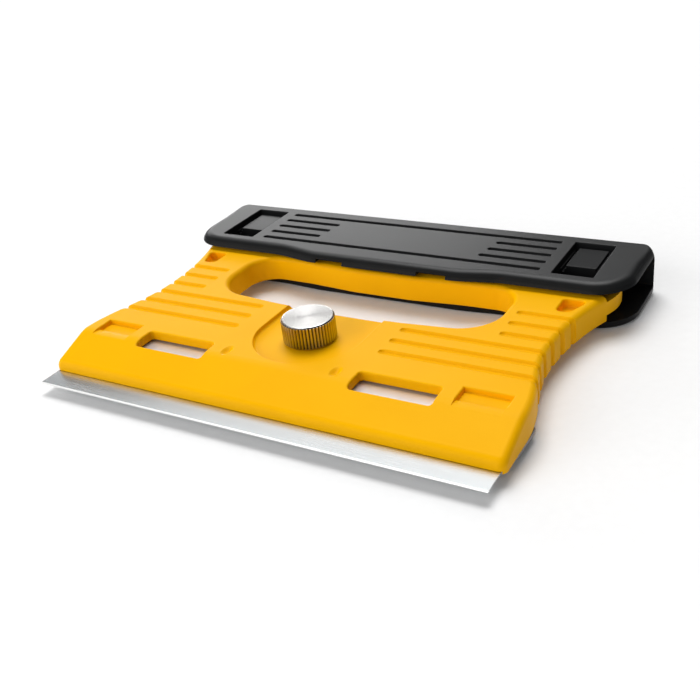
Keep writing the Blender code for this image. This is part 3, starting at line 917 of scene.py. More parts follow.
@dataclass(frozen=True)
class Paper:
    """Pale seamless paper of the floor."""

    name: str
    colour: Colour
    shade: Colour
    glow: float
    fibre: float = 3.0
    tone_span: Pair = (0.3, 0.7)
    roughness: float = 0.9
    specular: float = 0.1
    fades_from: float = 0.45
    fades_to: float = 1.8

    def material(self) -> bpy.types.Material:
        """Mix the paper.

        Returns:
            The material, lit a little from below as on a light table and fading into the room far out.
        """
        recipe = Recipe(bpy.data.materials.new(self.name))
        place = recipe.place()
        fibres = recipe.noise(place, self.fibre, 4.0)
        colour = recipe.toned(fibres, self.tone_span, self.colour, self.shade)
        away = recipe.node("ShaderNodeVectorMath", {"operation": "LENGTH"}, {0: place}, out=1)
        alpha = 1.0 - recipe.clipped(away, self.fades_from, self.fades_to)
        varying = {"Base Color": colour, "Emission Color": colour, "Alpha": alpha}
        constant = {"Roughness": self.roughness, "Specular IOR Level": self.specular,
                    "Emission Strength": self.glow}
        return recipe.shaded(varying, constant)


YELLOW = Moulding("yellow_moulding", "yellow_plastic", (0.95, 0.475, 0.0), (0.93, 0.455, 0.0),
                  roughness=0.42, grain=0.16, grain_depth=0.004, specular=0.05)
BLACK = Moulding("black_moulding", "black_plastic", (0.011, 0.0115, 0.012), (0.014, 0.0145, 0.015),
                 roughness=0.36, grain=0.22, grain_depth=0.008, specular=0.07,
                 polished_from=14.6, polished_to=14.8, gloss=0.42,
                 glossy_from=LAYOUT.cover_top - 0.7, glossy_to=LAYOUT.cover_top - 0.05)
STAINLESS = GroundSteel("ground_stainless", "stainless_blade", (0.58, 0.60, 0.61), (0.54, 0.56, 0.57),
                        roughness=0.27, honed_to=0.5, honed_roughness=0.45)
# The knurled and root colours are painted shade on the knob's side.
ALUMINIUM = TurnedMetal("turned_aluminium_rings", "turned_aluminium",
                        (0.67, 0.66, 0.645), (0.56, 0.55, 0.535),
                        knurled=(0.52, 0.50, 0.46), root=(0.08, 0.07, 0.06), roughness=0.26, ring_pitch=0.09,
                        side_radius=7.8, brushing=0.6)
# The rolled plate is painted dark below half a millimetre over its top: painted shade on its edges.
ROLLED = SheetSteel("rolled_steel", "plate_steel", (0.76, 0.77, 0.80), (0.70, 0.71, 0.74), roughness=0.29,
                    mottle=2.2, unevenness=0.05, painted_shade_below=LAYOUT.plate_top + 0.5, metallic=0.55)
ZINC = SheetSteel("zinc_plate", "zinc_steel", (0.62, 0.63, 0.64), (0.46, 0.47, 0.50), roughness=0.30,
                  mottle=0.9, unevenness=0.22)
PAPER = Paper("pale_paper", (0.94, 0.94, 0.94), (0.92, 0.92, 0.92), glow=0.04)


@dataclass
class Plate:
    """Plan of the clamp plate and of its raised pads, which the body's beds follow too."""

    setback: float = 2.0
    pad_margin: float = 1.5
    pad_length: float = 11.0
    pad_corner: float = 2.0
    neck: float = LAYOUT.blade_half - LAYOUT.fit * 1.4
    ear: float = LAYOUT.front_half - LAYOUT.slide_gap
    ear_tip: float = LAYOUT.pin_x + LAYOUT.pin_radius * 3.5
    ear_slope: float = LAYOUT.pin_y + LAYOUT.pin_radius * 2.6
    tongue: float = LAYOUT.stud_radius * 4.2
    tongue_root: float = LAYOUT.pin_y + LAYOUT.pin_radius * 4.6
    tongue_end: float = LAYOUT.knob_y + LAYOUT.stud_radius * 3.2

    def outline(self) -> Outline:
        """Draw the ears beside the blade and the tongue under the knob.

        Returns:
            The plate's outline.
        """
        half = [(self.neck, LAYOUT.blade_show + self.setback, 1.0), (self.neck, LAYOUT.foot_back, 0.0),
                (self.ear, LAYOUT.foot_back, 0.6), (self.ear, LAYOUT.ear_back, 1.5),
                (self.ear_tip, self.ear_slope, 4.0), (self.tongue, self.tongue_root, 5.0),
                (self.tongue, self.tongue_end, 9.0)]
        return fillet(mirrored(half))

    def pad(self, side: Side) -> Outline:
        """Draw the pad that stands under a deck window.

        Args:
            side: Side of the window.

        Returns:
            The pad's outline.
        """
        front = LAYOUT.blade_depth + LAYOUT.fit
        corners = rectangle(LAYOUT.window_in - self.pad_margin, LAYOUT.window_out + self.pad_margin, front,
                            front + self.pad_length, self.pad_corner)
        return fillet(handed(side, corners))


@dataclass
class Body:
    """Yellow moulding: sloped nose, flat deck with its details, waisted sides, hand hole and rail."""

    plate: Plate
    finish: Moulding = YELLOW
    edge_round: float = 2.0
    under_round: float = 0.6
    nose_height: float = 3.5
    break_soft: float = 1.5
    break_lines: int = 10
    waist: float = 6.2
    waist_y: float = LAYOUT.hole_front
    waist_arc: float = 95.0
    side_samples: int = 56
    front_corner: float = 2.4
    handle_corner: float = 18.0
    handle_run: float = 1.45
    hole_half: float = LAYOUT.front_half * 0.66
    hole_rim: float = 1.6
    hole_under: float = 0.6
    hole_flat: float = 0.4
    hole_bend: float = 60.0
    hole_rise: float = 0.1
    hole_front_corner: float = 13.0
    hole_back_corner: float = 9.0
    bow_in: float = 0.22
    bow_out: float = 0.58
    bow_start: float = 0.2
    bow_bend: float = 30.0
    pocket_radius: float = LAYOUT.knob_radius + 9.2
    pocket_fillet: float = 1.05
    pocket_rim: float = 0.4
    pocket_flat: float = 0.05
    pocket_reach: float = 0.2
    window_front: float = LAYOUT.break_y - 2.5
    window_length: float = 8.0
    window_corner: float = 1.2
    window_rim: float = 0.6
    recess_in: float = LAYOUT.front_half * 0.739
    recess_out: float = LAYOUT.front_half * 0.924
    recess_length: float = 7.5
    recess_depth: float = 1.6
    recess_ramp: float = 0.9
    recess_rim: float = 0.5
    recess_lip: float = 0.05
    recess_draft: float = 0.08
    recess_fillet: float = 0.2
    recess_foot: float = 0.25
    recess_lead: float = 0.1
    recess_floor: float = 0.6
    dimple_x: float = LAYOUT.front_half * 0.25
    dimple_length: float = 3.4
    dimple_depth: float = 0.95
    dimple_lift: float = 0.05
    dimple_aspect: float = 0.6
    dimple_lead: float = 0.9
    dimple_steps: int = 12
    dimple_points: int = 28
    well_in: float = LAYOUT.front_half * 0.846
    well_out: float = LAYOUT.front_half * 0.943
    well_back: float = LAYOUT.step_y - 4.8
    well_length: float = 8.2
    well_slant: float = 3.2
    well_depth: float = 3.2
    well_corner: float = 1.5
    well_rim: float = 0.6
    well_fillet: float = 1.2
    groove_count: int = 6
    groove_long: int = 3
    groove_lead: float = 18.7
    groove_tail: float = 5.0
    groove_half: float = 2.0
    groove_depth: float = 0.85
    groove_deepest: float = 0.45
    groove_lift: float = 0.12
    groove_end_steps: int = 5
    groove_edge_steps: int = 10
    groove_floor_steps: int = 8
    long_groove_in: float = LAYOUT.front_half * 0.33
    short_groove_in: float = LAYOUT.front_half * 0.71
    rib: float = 2.0
    low_roof: float = LAYOUT.body_low + LAYOUT.body_thick * 0.48
    core_wall: float = LAYOUT.cheek * 2.7
    core_round: float = 0.3
    rebate_half: float = LAYOUT.front_half + 8.0
    bed_lead: float = 3.0
    plate_gap: float = LAYOUT.fit * 1.5
    pin_points: int = 32

    def side_half(self, y: float) -> float:
        """Half width of the body.

        Args:
            y: Place along the body.

        Returns:
            Straight beside the blade, drawn in to the waist, then an arc outwards.
        """
        if y <= LAYOUT.break_y:
            return LAYOUT.front_half
        if y <= self.waist_y:
            share = (y - LAYOUT.break_y) / (self.waist_y - LAYOUT.break_y)
            return LAYOUT.front_half - self.waist * (1.0 - math.cos(math.pi * share)) / 2.0
        arc = self.waist_arc - math.sqrt(self.waist_arc ** 2 - (y - self.waist_y) ** 2)
        return LAYOUT.front_half - self.waist + arc

    def outline(self) -> Outline:
        """Draw the plan outline.

        Returns:
            The outline, with rounded nose ends and handle corners.
        """
        straight = LAYOUT.blade_show + self.front_corner * 2.0
        last = LAYOUT.handle_back - self.handle_corner * self.handle_run
        half = [(LAYOUT.front_half, LAYOUT.blade_show, self.front_corner), (LAYOUT.front_half, straight, 0.0)]
        for step in range(self.side_samples + 1):
            y = LAYOUT.break_y + (last - LAYOUT.break_y) * step / self.side_samples
            half.append((self.side_half(y), y, 0.0))
        slope = self.side_half(last) - self.side_half(last - 1.0)
        reach = self.side_half(last) + slope * (LAYOUT.handle_back - last)
        half.append((reach, LAYOUT.handle_back, self.handle_corner))
        return fillet(mirrored(half))

    def deck_height(self, y: float) -> float:
        """Height of the upper side over the underside.

        Args:
            y: Place along the body.

        Returns:
            Rising along the nose, through a soft break, to the flat deck.
        """
        thick = LAYOUT.body_top - LAYOUT.body_low
        slope = (thick - self.nose_height) / LAYOUT.bevel_run
        ahead = LAYOUT.break_y - y
        if ahead <= -self.break_soft:
            return thick
        if ahead >= self.break_soft:
            return thick - slope * ahead
        return thick - slope * (ahead + self.break_soft) ** 2 / (4.0 * self.break_soft)

    def drawn_height(self, above: float, y: float) -> float:
        """Height of a point after the front is drawn down.

        Args:
            above: Its height over the underside of the flat blank.
            y: Its place along the body.

        Returns:
            Its new height; the rounded upper edge keeps its radius and the wall below it is shortened.
        """
        thick = LAYOUT.body_top - LAYOUT.body_low
        deck = self.deck_height(y)
        wall = thick - self.edge_round
        if above >= wall:
            return deck - (thick - above)
        return above * (deck - self.edge_round) / wall

    def draw_down(self, piece: Piece) -> None:
        """Draw the front of the flat blank down to the nose, with everything that is cut in it.

        Args:
            piece: The blank.
        """
        shift = LAYOUT.length / 2.0
        build = bmesh.new()
        build.from_mesh(piece.data)
        for step in range(self.break_lines + 1):
            y = LAYOUT.break_y + self.break_soft * (2.0 * step / self.break_lines - 1.0)
            bmesh.ops.bisect_plane(build, geom=build.verts[:] + build.edges[:] + build.faces[:], dist=SNAP,
                                   plane_co=(0.0, (y - shift) * MM, 0.0), plane_no=(0.0, 1.0, 0.0))
        for vertex in build.verts:
            above = vertex.co.z / MM - LAYOUT.body_low
            vertex.co.z = (LAYOUT.body_low + self.drawn_height(above, vertex.co.y / MM + shift)) * MM
        build.to_mesh(piece.data)
        build.free()

    def hand_hole(self) -> Piece:
        """Cutter for the hand hole, with rounded mouths.

        Returns:
            The cutter.
        """
        front, back = LAYOUT.hole_front, LAYOUT.hole_back
        half = [(self.hole_half * self.hole_flat, front, self.hole_bend),
                (self.hole_half, front + LAYOUT.hole_depth * self.hole_rise, self.hole_front_corner),
                (self.hole_half, back, self.hole_back_corner),
                (self.hole_half * self.bow_out, back - LAYOUT.hole_bow * self.bow_start, self.bow_bend),
                (self.hole_half * self.bow_in, back - LAYOUT.hole_bow, self.bow_bend)]
        rims = Rims(-self.hole_rim, -self.hole_rim * self.hole_under, OVER)
        return slab("hand_hole", fillet(mirrored(half)), LAYOUT.body_low, LAYOUT.body_top, rims)

    def pocket(self) -> Piece:
        """Cutter for the dished pocket round the knob, open to the hand hole.

        Returns:
            The cutter.
        """
        half = self.pocket_radius
        front = LAYOUT.knob_y - half
        back = LAYOUT.hole_front + LAYOUT.hole_depth * self.pocket_reach
        bend = half - self.pocket_flat
        corners = [(half, front, bend), (half, back, 0.0), (-half, back, 0.0), (-half, front, bend)]
        rims = Rims(-self.pocket_rim, self.pocket_fillet)
        return pit("pocket", fillet(corners), LAYOUT.pocket_floor, LAYOUT.body_top, rims)

    def groove(self, side: Side, y: float, x_in: float) -> Piece:
        """Cutter, steep behind and gentle in front, that runs along the deck and down over the side wall.

        Args:
            side: Side of the body.
            y: Middle of the groove.
            x_in: Its inner end.

        Returns:
            The cutter.
        """
        wall = self.side_half(y)
        pivot = Vector((wall - self.edge_round, LAYOUT.body_top - self.edge_round))
        path: list[tuple[Vector, float, float]] = []
        for step in range(self.groove_end_steps):
            turn = HALF_PI * (step + 0.5) / self.groove_end_steps
            reach = self.groove_half * (1.0 - math.cos(turn))
            path.append((Vector((x_in + reach, LAYOUT.body_top)), HALF_PI, math.sin(turn)))
        for step in range(self.groove_edge_steps + 1):
            tilt = HALF_PI * (1.0 - step / self.groove_edge_steps)
            path.append((pivot + Vector((math.cos(tilt), math.sin(tilt))) * self.edge_round, tilt, 1.0))
        path.append((Vector((wall, LAYOUT.body_low - OVER)), 0.0, 1.0))
        depth = self.groove_depth + self.groove_lift
        floor: list[Pair] = []
        for step in range(-self.groove_floor_steps, self.groove_floor_steps + 1):
            away = step / self.groove_floor_steps
            run = 1.0 - self.groove_deepest if step > 0 else 1.0 + self.groove_deepest
            floor.append((self.groove_deepest + away * run, depth * (1.0 + math.cos(math.pi * away)) / 2.0))
        rings: list[Ring] = []
        for centre, tilt, share in path:
            section = [(across, self.groove_lift - sunk * share) for across, sunk in floor]
            section += [(1.0, OVER), (-1.0, OVER)]
            rings.append([(side.value * (centre.x + out * math.cos(tilt)),
                           y + across * self.groove_half * (0.5 + 0.5 * share),
                           centre.y + out * math.sin(tilt)) for across, out in section])
        return loft("groove", rings)

    def recess_section(self) -> list[Pair]:
        """Draw the section of a recess, along the body.

        Returns:
            Points of its rounded mouth, back wall and floor, and of the ramp that drops to the floor.
        """
        top = LAYOUT.body_top
        floor = top - self.recess_depth
        back = LAYOUT.break_y + self.recess_length
        front = LAYOUT.break_y - LAYOUT.bevel_run * self.recess_lead
        drop = back - (back - front) * self.recess_floor
        rise = self.recess_ramp / (drop - front)
        section = [(front - OVER / rise, top + OVER), (back + self.recess_rim + self.recess_lip, top + OVER)]
        for turn in quarter():
            section.append((back + self.recess_rim * (1.0 - math.sin(turn)),
                            top - self.recess_rim * (1.0 - math.cos(turn))))
        section += [(back - self.recess_draft, floor + self.recess_fillet), (back - self.recess_foot, floor),
                    (drop, floor), (drop - self.recess_fillet, top - self.recess_ramp)]
        return section

    def recess(self, side: Side) -> Piece:
        """Cutter for the recess outside a window, with a rounded mouth at both ends.

        Args:
            side: Side of the body.

        Returns:
            The cutter.
        """
        section = self.recess_section()
        ends = [(self.recess_rim * (1.0 - math.sin(turn)), self.recess_rim * (1.0 - math.cos(turn)))
                for turn in quarter()]
        ends.append((-self.recess_draft, self.recess_depth))
        stations = [(self.recess_in - out, sunk) for out, sunk in ends]
        stations += [(self.recess_out + out, sunk) for out, sunk in reversed(ends)]
        rings = [[(side.value * x, y, max(z, LAYOUT.body_top - sunk)) for y, z in section]
                 for x, sunk in stations]
        return loft("recess", rings)

    def dimple(self, side: Side) -> Piece:
        """Cutter for the small scoop inboard of a window.

        Args:
            side: Side of the body.

        Returns:
            The cutter.
        """
        unit = circle(0.0, 0.0, 1.0, self.dimple_points)
        length = self.dimple_length
        top = LAYOUT.body_top + self.dimple_lift
        rings: list[Ring] = []
        for step in range(1, self.dimple_steps + 1):
            share = step / self.dimple_steps
            sunk = (self.dimple_depth + self.dimple_lift) * (1.0 + math.cos(math.pi * share)) / 2.0
            rings.append([(point.x * length * self.dimple_aspect * share + side.value * self.dimple_x,
                           point.y * length * share + LAYOUT.break_y + length * self.dimple_lead,
                           top - sunk) for point in unit])
        rings.append([(x, y, LAYOUT.body_top + OVER) for x, y, _ in rings[-1]])
        return loft("dimple", rings)

    def well(self, side: Side) -> Piece:
        """Cutter for the four-sided well beside the handle.

        Args:
            side: Side of the body.

        Returns:
            The cutter.
        """
        front = self.well_back - self.well_length
        radius = self.well_corner
        corners = [(self.well_in, front, radius), (self.well_out - self.well_slant, front, radius),
                   (self.well_out, self.well_back, radius), (self.well_in, self.well_back, radius)]
        rims = Rims(-self.well_rim, self.well_fillet)
        floor = LAYOUT.body_top - self.well_depth
        return pit("well", fillet(handed(side, corners)), floor, LAYOUT.body_top, rims)

    def window(self, side: Side) -> Piece:
        """Cutter for a deck window with a rounded mouth.

        Args:
            side: Side of the body.

        Returns:
            The cutter.
        """
        corners = rectangle(LAYOUT.window_in, LAYOUT.window_out, self.window_front,
                            self.window_front + self.window_length, self.window_corner)
        outline = fillet(handed(side, corners))
        return slab("window", outline, LAYOUT.body_low, LAYOUT.body_top, Rims(-self.window_rim, 0.0, OVER))

    def deck_cutters(self) -> list[Piece]:
        """Make every cutter that opens in the deck or the side walls.

        Returns:
            The cutters, which stand clear of each other.
        """
        first = LAYOUT.hole_front - self.groove_lead
        last = self.well_back - self.well_length - self.groove_tail
        pitch = (last - first) / (self.groove_count - 1)
        cutters: list[Piece] = []
        for side in Side:
            cutters += [self.window(side), self.recess(side), self.dimple(side), self.well(side)]
            for index in range(self.groove_count):
                x_in = self.long_groove_in if index < self.groove_long else self.short_groove_in
                cutters.append(self.groove(side, first + pitch * index, x_in))
        return cutters

    def hollows(self) -> list[Piece]:
        """Make the cutters for the low core-outs over the blade, parted by ribs from the pads' bays.

        Returns:
            The cutters.
        """
        apart = self.plate.pad_margin + LAYOUT.pad_clear + self.rib
        back = self.window_front + self.window_length - OVER
        bays = ((self.rib / 2.0, LAYOUT.window_in - apart),
                (LAYOUT.window_out + apart, LAYOUT.front_half - self.core_wall))
        cutters: list[Piece] = []
        for side in Side:
            for near, far in bays:
                corners = rectangle(near, far, LAYOUT.foot_back, back, self.window_corner)
                cutters.append(slab("hollow", fillet(handed(side, corners)), LAYOUT.body_low - OVER,
                                    self.low_roof, Rims(self.core_round)))
        return cutters

    def pad_bays(self) -> list[Piece]:
        """Make the cutters for the taller core-outs that the pads of the clamp plate stand in."""
        return [slab("pad_bay", inset(self.plate.pad(side), -LAYOUT.pad_clear), LAYOUT.body_low - OVER,
                     LAYOUT.roof, Rims(self.core_round)) for side in Side]

    def clamp_hole(self) -> Piece:
        """Stepped cutter for the stud, with a seat for the washer above and one for the shoulder below.

        Returns:
            The cutter.
        """
        washer_seat = LAYOUT.knob_radius - LAYOUT.washer_margin + LAYOUT.fit
        shoulder_seat = LAYOUT.stud_radius + LAYOUT.shoulder + LAYOUT.fit
        bore = LAYOUT.stud_radius + LAYOUT.fit
        shoulder_top = LAYOUT.plate_top + LAYOUT.shoulder_thick + LAYOUT.fit
        washer_low = LAYOUT.pocket_floor - LAYOUT.washer_thick - LAYOUT.slide_gap
        profile = [(shoulder_seat, LAYOUT.body_low - OVER), (shoulder_seat, shoulder_top),
                   (bore, shoulder_top), (bore, washer_low),
                   (washer_seat, washer_low), (washer_seat, LAYOUT.body_top + OVER)]
        return turned("clamp_hole", profile, 0.0, LAYOUT.knob_y)

    def pin_holes(self) -> list[Piece]:
        """Make the cutters for the blind holes of the guide pins.

        Returns:
            The cutters.
        """
        radius = LAYOUT.pin_radius + LAYOUT.fit
        top = LAYOUT.plate_top + LAYOUT.pin_entry + LAYOUT.fit
        rims = [circle(side.value * LAYOUT.pin_x, LAYOUT.pin_y, radius, self.pin_points) for side in Side]
        return [slab("pin_hole", rim, LAYOUT.body_low - OVER, top) for rim in rims]

    def rebates(self) -> list[Piece]:
        """Make the cutters that thin the handle to its rail.

        Returns:
            The upper and the lower one.
        """
        corners = rectangle(-self.rebate_half, self.rebate_half, LAYOUT.step_y, LAYOUT.handle_back + OVER)
        return [slab("rebate", fillet(corners), LAYOUT.rail_top, LAYOUT.body_top + OVER),
                slab("rebate", fillet(corners), LAYOUT.body_low - OVER, LAYOUT.rail_low)]

    def beds(self) -> list[Piece]:
        """Make the cutters for the beds of the blade and of the clamp plate.

        Returns:
            The cutters, which run into each other.
        """
        half = LAYOUT.blade_half + LAYOUT.fit
        front = LAYOUT.blade_show - self.bed_lead
        corners = rectangle(-half, half, front, LAYOUT.blade_depth + LAYOUT.fit)
        rim = inset(self.plate.outline(), -self.plate_gap)
        return [slab("blade_bed", fillet(corners), LAYOUT.body_low - OVER, LAYOUT.blade_bed),
                slab("plate_bed", rim, LAYOUT.body_low - OVER, LAYOUT.plate_bed)]

    def build(self) -> None:
        """Mould the body: deck details in the flat blank, then the nose, then the underside."""
        piece = slab("moulded_body", self.outline(), LAYOUT.body_low, LAYOUT.body_top,
                     Rims(self.edge_round, self.under_round))
        cut(piece, [self.hand_hole()])
        cut(piece, [self.pocket()])
        cut(piece, self.rebates())
        cut(piece, self.deck_cutters())
        self.draw_down(piece)
        for bed in self.beds():
            cut(piece, [bed])
        cut(piece, self.hollows())
        cut(piece, self.pad_bays())
        cut(piece, [self.clamp_hole()] + self.pin_holes())
        show(piece, self.finish.material(), Moves.BODY, self.finish.slot, "body")


@dataclass
class Blade:
    """Stainless strip, honed to an edge from both sides."""

    finish: GroundSteel = STAINLESS
    honed: float = 0.5
    edge: float = 0.04
    eased: float = 0.08

    def build(self) -> None:
        """Cut and hone the strip, with its long edges eased."""
        low, top, back = LAYOUT.blade_low, LAYOUT.blade_top, LAYOUT.blade_depth
        middle = (low + top) / 2.0
        section = [(0.0, middle - self.edge / 2.0), (self.honed, low), (back - self.eased, low),
                   (back, low + self.eased), (back, top - self.eased), (back - self.eased, top),
                   (self.honed, top), (0.0, middle + self.edge / 2.0)]
        piece = bar("honed_blade", section, -LAYOUT.blade_half, LAYOUT.blade_half)
        show(piece, self.finish.material(), Moves.BLADE, self.finish.slot, "blade")


@dataclass
class Clamp:
    """Clamp plate with the parts that are riveted into it."""

    plate: Plate
    sheet: SheetSteel = ROLLED
    plating: SheetSteel = ZINC
    rim: float = 0.15
    bend: float = 0.9
    pad_root: float = 0.05
    pad_flare: float = 0.2
    core_round: float = 0.3
    thread_pitch: float = 1.0
    thread_depth: float = 0.55
    thread_lead: float = 0.4
    thread_rows: int = 10
    thread_points: int = 48
    chamfer: float = 0.6
    pin_foot: float = 0.2
    pin_nose: float = 0.7
    nose_share: float = 0.9
    pin_points: int = 40

    def pressed_plate(self) -> None:
        """Press the plate out of sheet, with eased edges, two raised pads and countersunk rivet holes."""
        low, top = LAYOUT.plate_low, LAYOUT.plate_top
        piece = slab("pressed_plate", self.plate.outline(), low, top, Rims(self.rim, self.rim))
        bent = Rims(self.bend, -self.pad_flare)
        pads = [slab("pad", self.plate.pad(side), top - self.pad_root, LAYOUT.pad_top, bent) for side in Side]
        combine(piece, pads, Work.FUSE)
        cut(piece, [slab("core", inset(self.plate.pad(side), LAYOUT.plate_thick), low - OVER,
                         LAYOUT.pad_top - LAYOUT.plate_thick, Rims(self.core_round)) for side in Side])
        spots = [(0.0, LAYOUT.knob_y, LAYOUT.stud_radius), (LAYOUT.pin_x, LAYOUT.pin_y, LAYOUT.pin_radius),
                 (-LAYOUT.pin_x, LAYOUT.pin_y, LAYOUT.pin_radius)]
        sunk = Rims(-self.rim, -self.rim, OVER)
        cut(piece, [slab("hole", circle(x, y, radius + LAYOUT.slide_gap), low, top, sunk)
                    for x, y, radius in spots])
        show(piece, self.sheet.material(), Moves.CLAMP, self.sheet.slot, "clamp_plate")

    def threaded_stud(self, material: bpy.types.Material) -> None:
        """Turn the shouldered stud and roll its thread.

        Args:
            material: Its plating.
        """
        count = self.thread_points
        foot, tip = LAYOUT.plate_low, LAYOUT.stud_tip
        low = LAYOUT.plate_top + LAYOUT.slide_gap
        high = low + LAYOUT.shoulder_thick - LAYOUT.slide_gap
        radius = LAYOUT.stud_radius
        wide = radius + LAYOUT.shoulder
        profile = ((radius - self.rim, foot), (radius, foot + self.rim), (radius, low), (wide, low),
                   (wide, high - self.rim), (wide - self.rim, high), (radius, high))
        stack = [level(circle(0.0, LAYOUT.knob_y, across, count), z) for across, z in profile]
        start, end = high + self.thread_lead, tip - self.chamfer
        rows = math.ceil((end - start) / self.thread_pitch * self.thread_rows)
        for row in range(rows + 1):
            z = start + (end - start) * row / rows
            ring: Ring = []
            for index in range(count):
                share = (z / self.thread_pitch - index / count) % 1.0
                across = radius - self.thread_depth * abs(2.0 * share - 1.0)
                turn = 2.0 * math.pi * index / count
                ring.append((across * math.cos(turn), LAYOUT.knob_y + across * math.sin(turn), z))
            stack.append(ring)
        stack.append(level(circle(0.0, LAYOUT.knob_y, radius - self.chamfer, count), tip))
        show(loft("threaded_stud", stack), material, Moves.CLAMP, self.plating.slot, "clamp_stud")

    def dowel(self, side: Side, material: bpy.types.Material) -> None:
        """Turn one guide pin, with a rounded nose and a peened foot.

        Args:
            side: Side of the plate.
            material: Its plating.
        """
        low, tip = LAYOUT.plate_low, LAYOUT.plate_top + LAYOUT.pin_entry
        radius = LAYOUT.pin_radius
        profile = [(radius - self.pin_foot, low), (radius, low + self.pin_foot)]
        for step in quarter():
            turn = step * self.nose_share
            profile.append((radius - self.pin_nose * (1.0 - math.cos(turn)),
                            tip - self.pin_nose * (1.0 - math.sin(turn))))
        name = side.name.lower()
        piece = turned(f"dowel_{name}", profile, side.value * LAYOUT.pin_x, LAYOUT.pin_y, self.pin_points)
        show(piece, material, Moves.CLAMP, self.plating.slot, f"guide_pin_{name}")

    def build(self) -> None:
        """Make the plate, the stud and both pins."""
        self.pressed_plate()
        plated = self.plating.material()
        self.threaded_stud(plated)
        for side in Side:
            self.dowel(side, plated)


@dataclass
class Knob:
    """Thumb nut with a straight knurl, and the washer under it."""

    finish: TurnedMetal = ALUMINIUM
    plating: SheetSteel = ZINC
    teeth: int = 48
    tooth_depth: float = 0.42
    tooth_form: tuple[float, ...] = (0.0, 0.45, 1.0, 0.45)
    chamfer: float = 0.35
    chamfer_share: float = 0.55
    crown: float = 0.10
    crown_steps: int = 4
    mouth: float = 0.3
    washer_rim: float = 0.15
    washer_mouth: float = 0.1
    bore_radius: float = LAYOUT.stud_radius + LAYOUT.fit

    def knurl(self, shrink: float, share: float) -> Outline:
        """Draw the knurled outline.

        Args:
            shrink: How far its crests stand inside the full radius.
            share: Share of the full tooth depth.

        Returns:
            The points of each tooth in turn, from its crest to its root and up again.
        """
        points: Outline = []
        count = self.teeth * len(self.tooth_form)
        for index in range(count):
            root = self.tooth_form[index % len(self.tooth_form)]
            radius = LAYOUT.knob_radius - shrink - self.tooth_depth * share * root
            turn = 2.0 * math.pi * index / count
            points.append(Vector((radius * math.cos(turn), LAYOUT.knob_y + radius * math.sin(turn))))
        return points

    def thumb_nut(self) -> None:
        """Turn, knurl and bore the nut."""
        low, top = LAYOUT.knob_low, LAYOUT.knob_top
        rim = self.chamfer + self.tooth_depth
        eased = top - self.chamfer * self.chamfer_share - self.crown
        stack = [level(self.knurl(rim, 0.0), low), level(self.knurl(0.0, 1.0), low + self.chamfer),
                 level(self.knurl(0.0, 1.0), top - self.chamfer - self.crown),
                 level(self.knurl(self.tooth_depth, 0.0), eased)]
        for turn in quarter(self.crown_steps)[1:]:
            edge = self.chamfer + self.tooth_depth * math.sin(turn)
            stack.append(level(self.knurl(edge, 0.0), top - self.crown * (1.0 - math.sin(turn))))
        piece = loft("thumb_nut", stack)
        bore = circle(0.0, LAYOUT.knob_y, self.bore_radius)
        cut(piece, [slab("bore", bore, low, LAYOUT.stud_tip + LAYOUT.fit, Rims(0.0, -self.mouth, OVER))])
        show(piece, self.finish.material(), Moves.KNOB, self.finish.slot, "knob")

    def washer(self) -> None:
        """Stamp the washer, with eased rims."""
        low = LAYOUT.pocket_floor - LAYOUT.washer_thick
        rim = circle(0.0, LAYOUT.knob_y, LAYOUT.knob_radius - LAYOUT.washer_margin)
        piece = slab("stamped_washer", rim, low, LAYOUT.pocket_floor, Rims(self.washer_rim, self.washer_rim))
        bore = circle(0.0, LAYOUT.knob_y, self.bore_radius)
        rims = Rims(-self.washer_mouth, -self.washer_mouth, OVER)
        cut(piece, [slab("bore", bore, low, LAYOUT.pocket_floor, rims)])
        show(piece, self.plating.material(), Moves.BODY, self.plating.slot, "knob_washer")

    def build(self) -> None:
        """Make the nut and its washer."""
        self.thumb_nut()
        self.washer()


